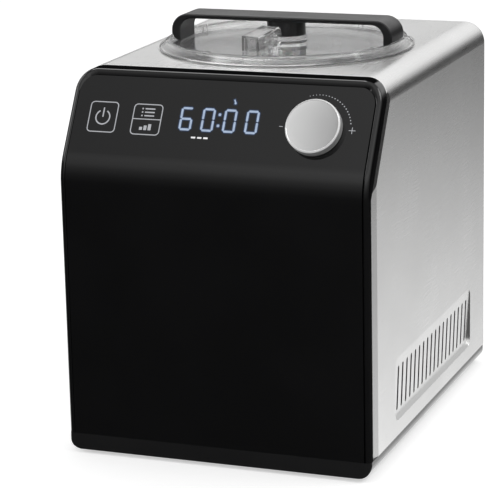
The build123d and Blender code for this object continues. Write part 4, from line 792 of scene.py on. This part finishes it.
# The chamfer ring is painted white and mostly non-metal: a painted highlight.
painted_ring_highlight = math(tree, "MULTIPLY", on_ring, math(tree, "SUBTRACT", 1.0, on_side))
tree.links.new(mix(tree, painted_ring_highlight, mix(tree, on_side, 1.0, 0.72), 0.15), shader.inputs["Metallic"])
tint(tree, shader, painted_ring_highlight, (1, 1, 1))
smooth_face = shader.inputs["Roughness"].links[0].from_socket
tree.links.new(mix(tree, on_side, smooth_face, 0.5), shader.inputs["Roughness"])
for solid in ("control_knob", "encoder_shaft"):
    for held in frame["nodes"][solid].material_slots:
        held.material = finishes["knob_metal"]
print("turned finish of", len(tree.nodes), "nodes")

# %% Profile of the knob's cap
knob_solid = frame["nodes"]["control_knob"]
knob_edge = knob_radius / MM
knob_face = max((vert.co - knob_centre).dot(panel_out) for vert in knob_solid.data.vertices) / MM
KNOB_PROFILE = (
    (0.0, knob_face - 1.0), (5.0, knob_face - 0.95), (10.0, knob_face - 0.78), (14.5, knob_face - 0.54),
    (knob_edge - 2.0, knob_face - 0.28), (knob_edge - 1.35, knob_face - 0.2), (knob_edge - 1.15, knob_face),
    (knob_edge - 0.95, knob_face), (knob_edge - 0.12, knob_face - 0.95), (knob_edge, knob_face - 1.2),
    (knob_edge, 1.0), (knob_edge - 0.3, 0.6), (knob_edge - 0.8, 0.4), (3.1, 0.4), (3.1, knob_face - 2.5),
    (0.0, knob_face - 2.5),
)
print("profile of", len(KNOB_PROFILE), "corners,", round(knob_face, 2), "mm proud")

# %% The knob's cap
knob_turn = panel_out.to_track_quat("Z", "Y").to_matrix().to_4x4()
knob_matrix = Matrix.Translation(knob_centre) @ knob_turn @ Matrix.Scale(MM, 4)


def spun(profile, steps):
    """Closed shape of a profile, in radius and height, spun about Z."""
    bm = bmesh.new()
    corners = [bm.verts.new((radius, 0, height)) for radius, height in profile]
    lines = [bm.edges.new(pair) for pair in zip(corners, corners[1:])]
    bmesh.ops.spin(
        bm, geom=[*corners, *lines], cent=(0, 0, 0), axis=(0, 0, 1), angle=2 * pi, steps=steps,
        use_merge=True,
    )
    bmesh.ops.remove_doubles(bm, verts=bm.verts, dist=1e-4)
    bmesh.ops.recalc_face_normals(bm, faces=bm.faces)
    return bm


bm = spun(KNOB_PROFILE, 128)
bmesh.ops.transform(bm, matrix=knob_matrix, verts=bm.verts)
knob_cap = as_piece(bm, "knob_cap", "knob", finishes["knob_metal"], smooth=24)
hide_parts("control_knob")
print("knob cap of", len(knob_cap.data.polygons), "faces,", round(2 * knob_edge, 1), "mm wide")

# %% [markdown]
# The frame round the front is a rounded bead: it rolls over to the sheet outside and dips to the panel
# inside. The solid has the outer rounding only. A copy of it is merged into one surface, and the edge along
# the panel is let in a little, which slopes the bead's inner half and leaves the fine groove that a real
# panel has round it.

# %% Helpers for the bead
FLAT_UNDER, SAME_PLACE = radians(0.2), 1e-6


def merged_copy(node):
    """One surface from a node's loose triangles, with its flat areas as single faces."""
    bm = bmesh.new()
    bm.from_mesh(frame["nodes"][node].data)
    bmesh.ops.remove_doubles(bm, verts=bm.verts, dist=SAME_PLACE)
    bmesh.ops.dissolve_limit(bm, angle_limit=FLAT_UNDER, verts=bm.verts, edges=bm.edges, delimit={"NORMAL"})
    return bm


def behind_front(point):
    """How far a point is behind the front's two planes, in millimetres; small numbers are on the front."""
    return -max(panel_low.y - point.y, (point - bend).dot(panel_out)) / MM


print("the knob's centre is", round(abs(behind_front(knob_centre)), 2), "mm from the front")

# %% Inner half of the bead
BEND_SLACK, SHARP = 1.95, radians(60)
TOP_DIP, SIDE_DIP, TOP_BAR = 1.7, 0.8, 3.0
bm = merged_copy("front_frame")
along_panel = []
for edge in bm.edges:
    if edge.is_manifold and edge.calc_face_angle_signed(0) > SHARP:
        on_front = all(behind_front(vert.co) < BEND_SLACK for vert in edge.verts)
        at_foot = all(vert.co.z < panel_low.z + MM for vert in edge.verts)
        if on_front and not at_foot:
            along_panel.append(edge)
for vert in {vert for edge in along_panel for vert in edge.verts}:
    fronts = [face.normal for face in vert.link_faces if abs(face.normal.x) < 0.1 and face.normal.y < -0.4]
    on_top_bar = abs(vert.co.x) < 0.95 * panel_high.x and vert.co.z > panel_high.z - TOP_BAR * MM
    vert.co -= sum(fronts, Vector()).normalized() * (TOP_DIP if on_top_bar else SIDE_DIP) * MM
bmesh.ops.triangulate(bm, faces=[face for face in bm.faces if len(face.verts) > 4])
bm.normal_update()
bead = as_piece(bm, "frame_bead", "housing", finishes["black_gloss"], smooth=50)
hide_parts("front_frame")
print("bead dips along", len(along_panel), "edges,", len(bead.data.polygons), "faces")
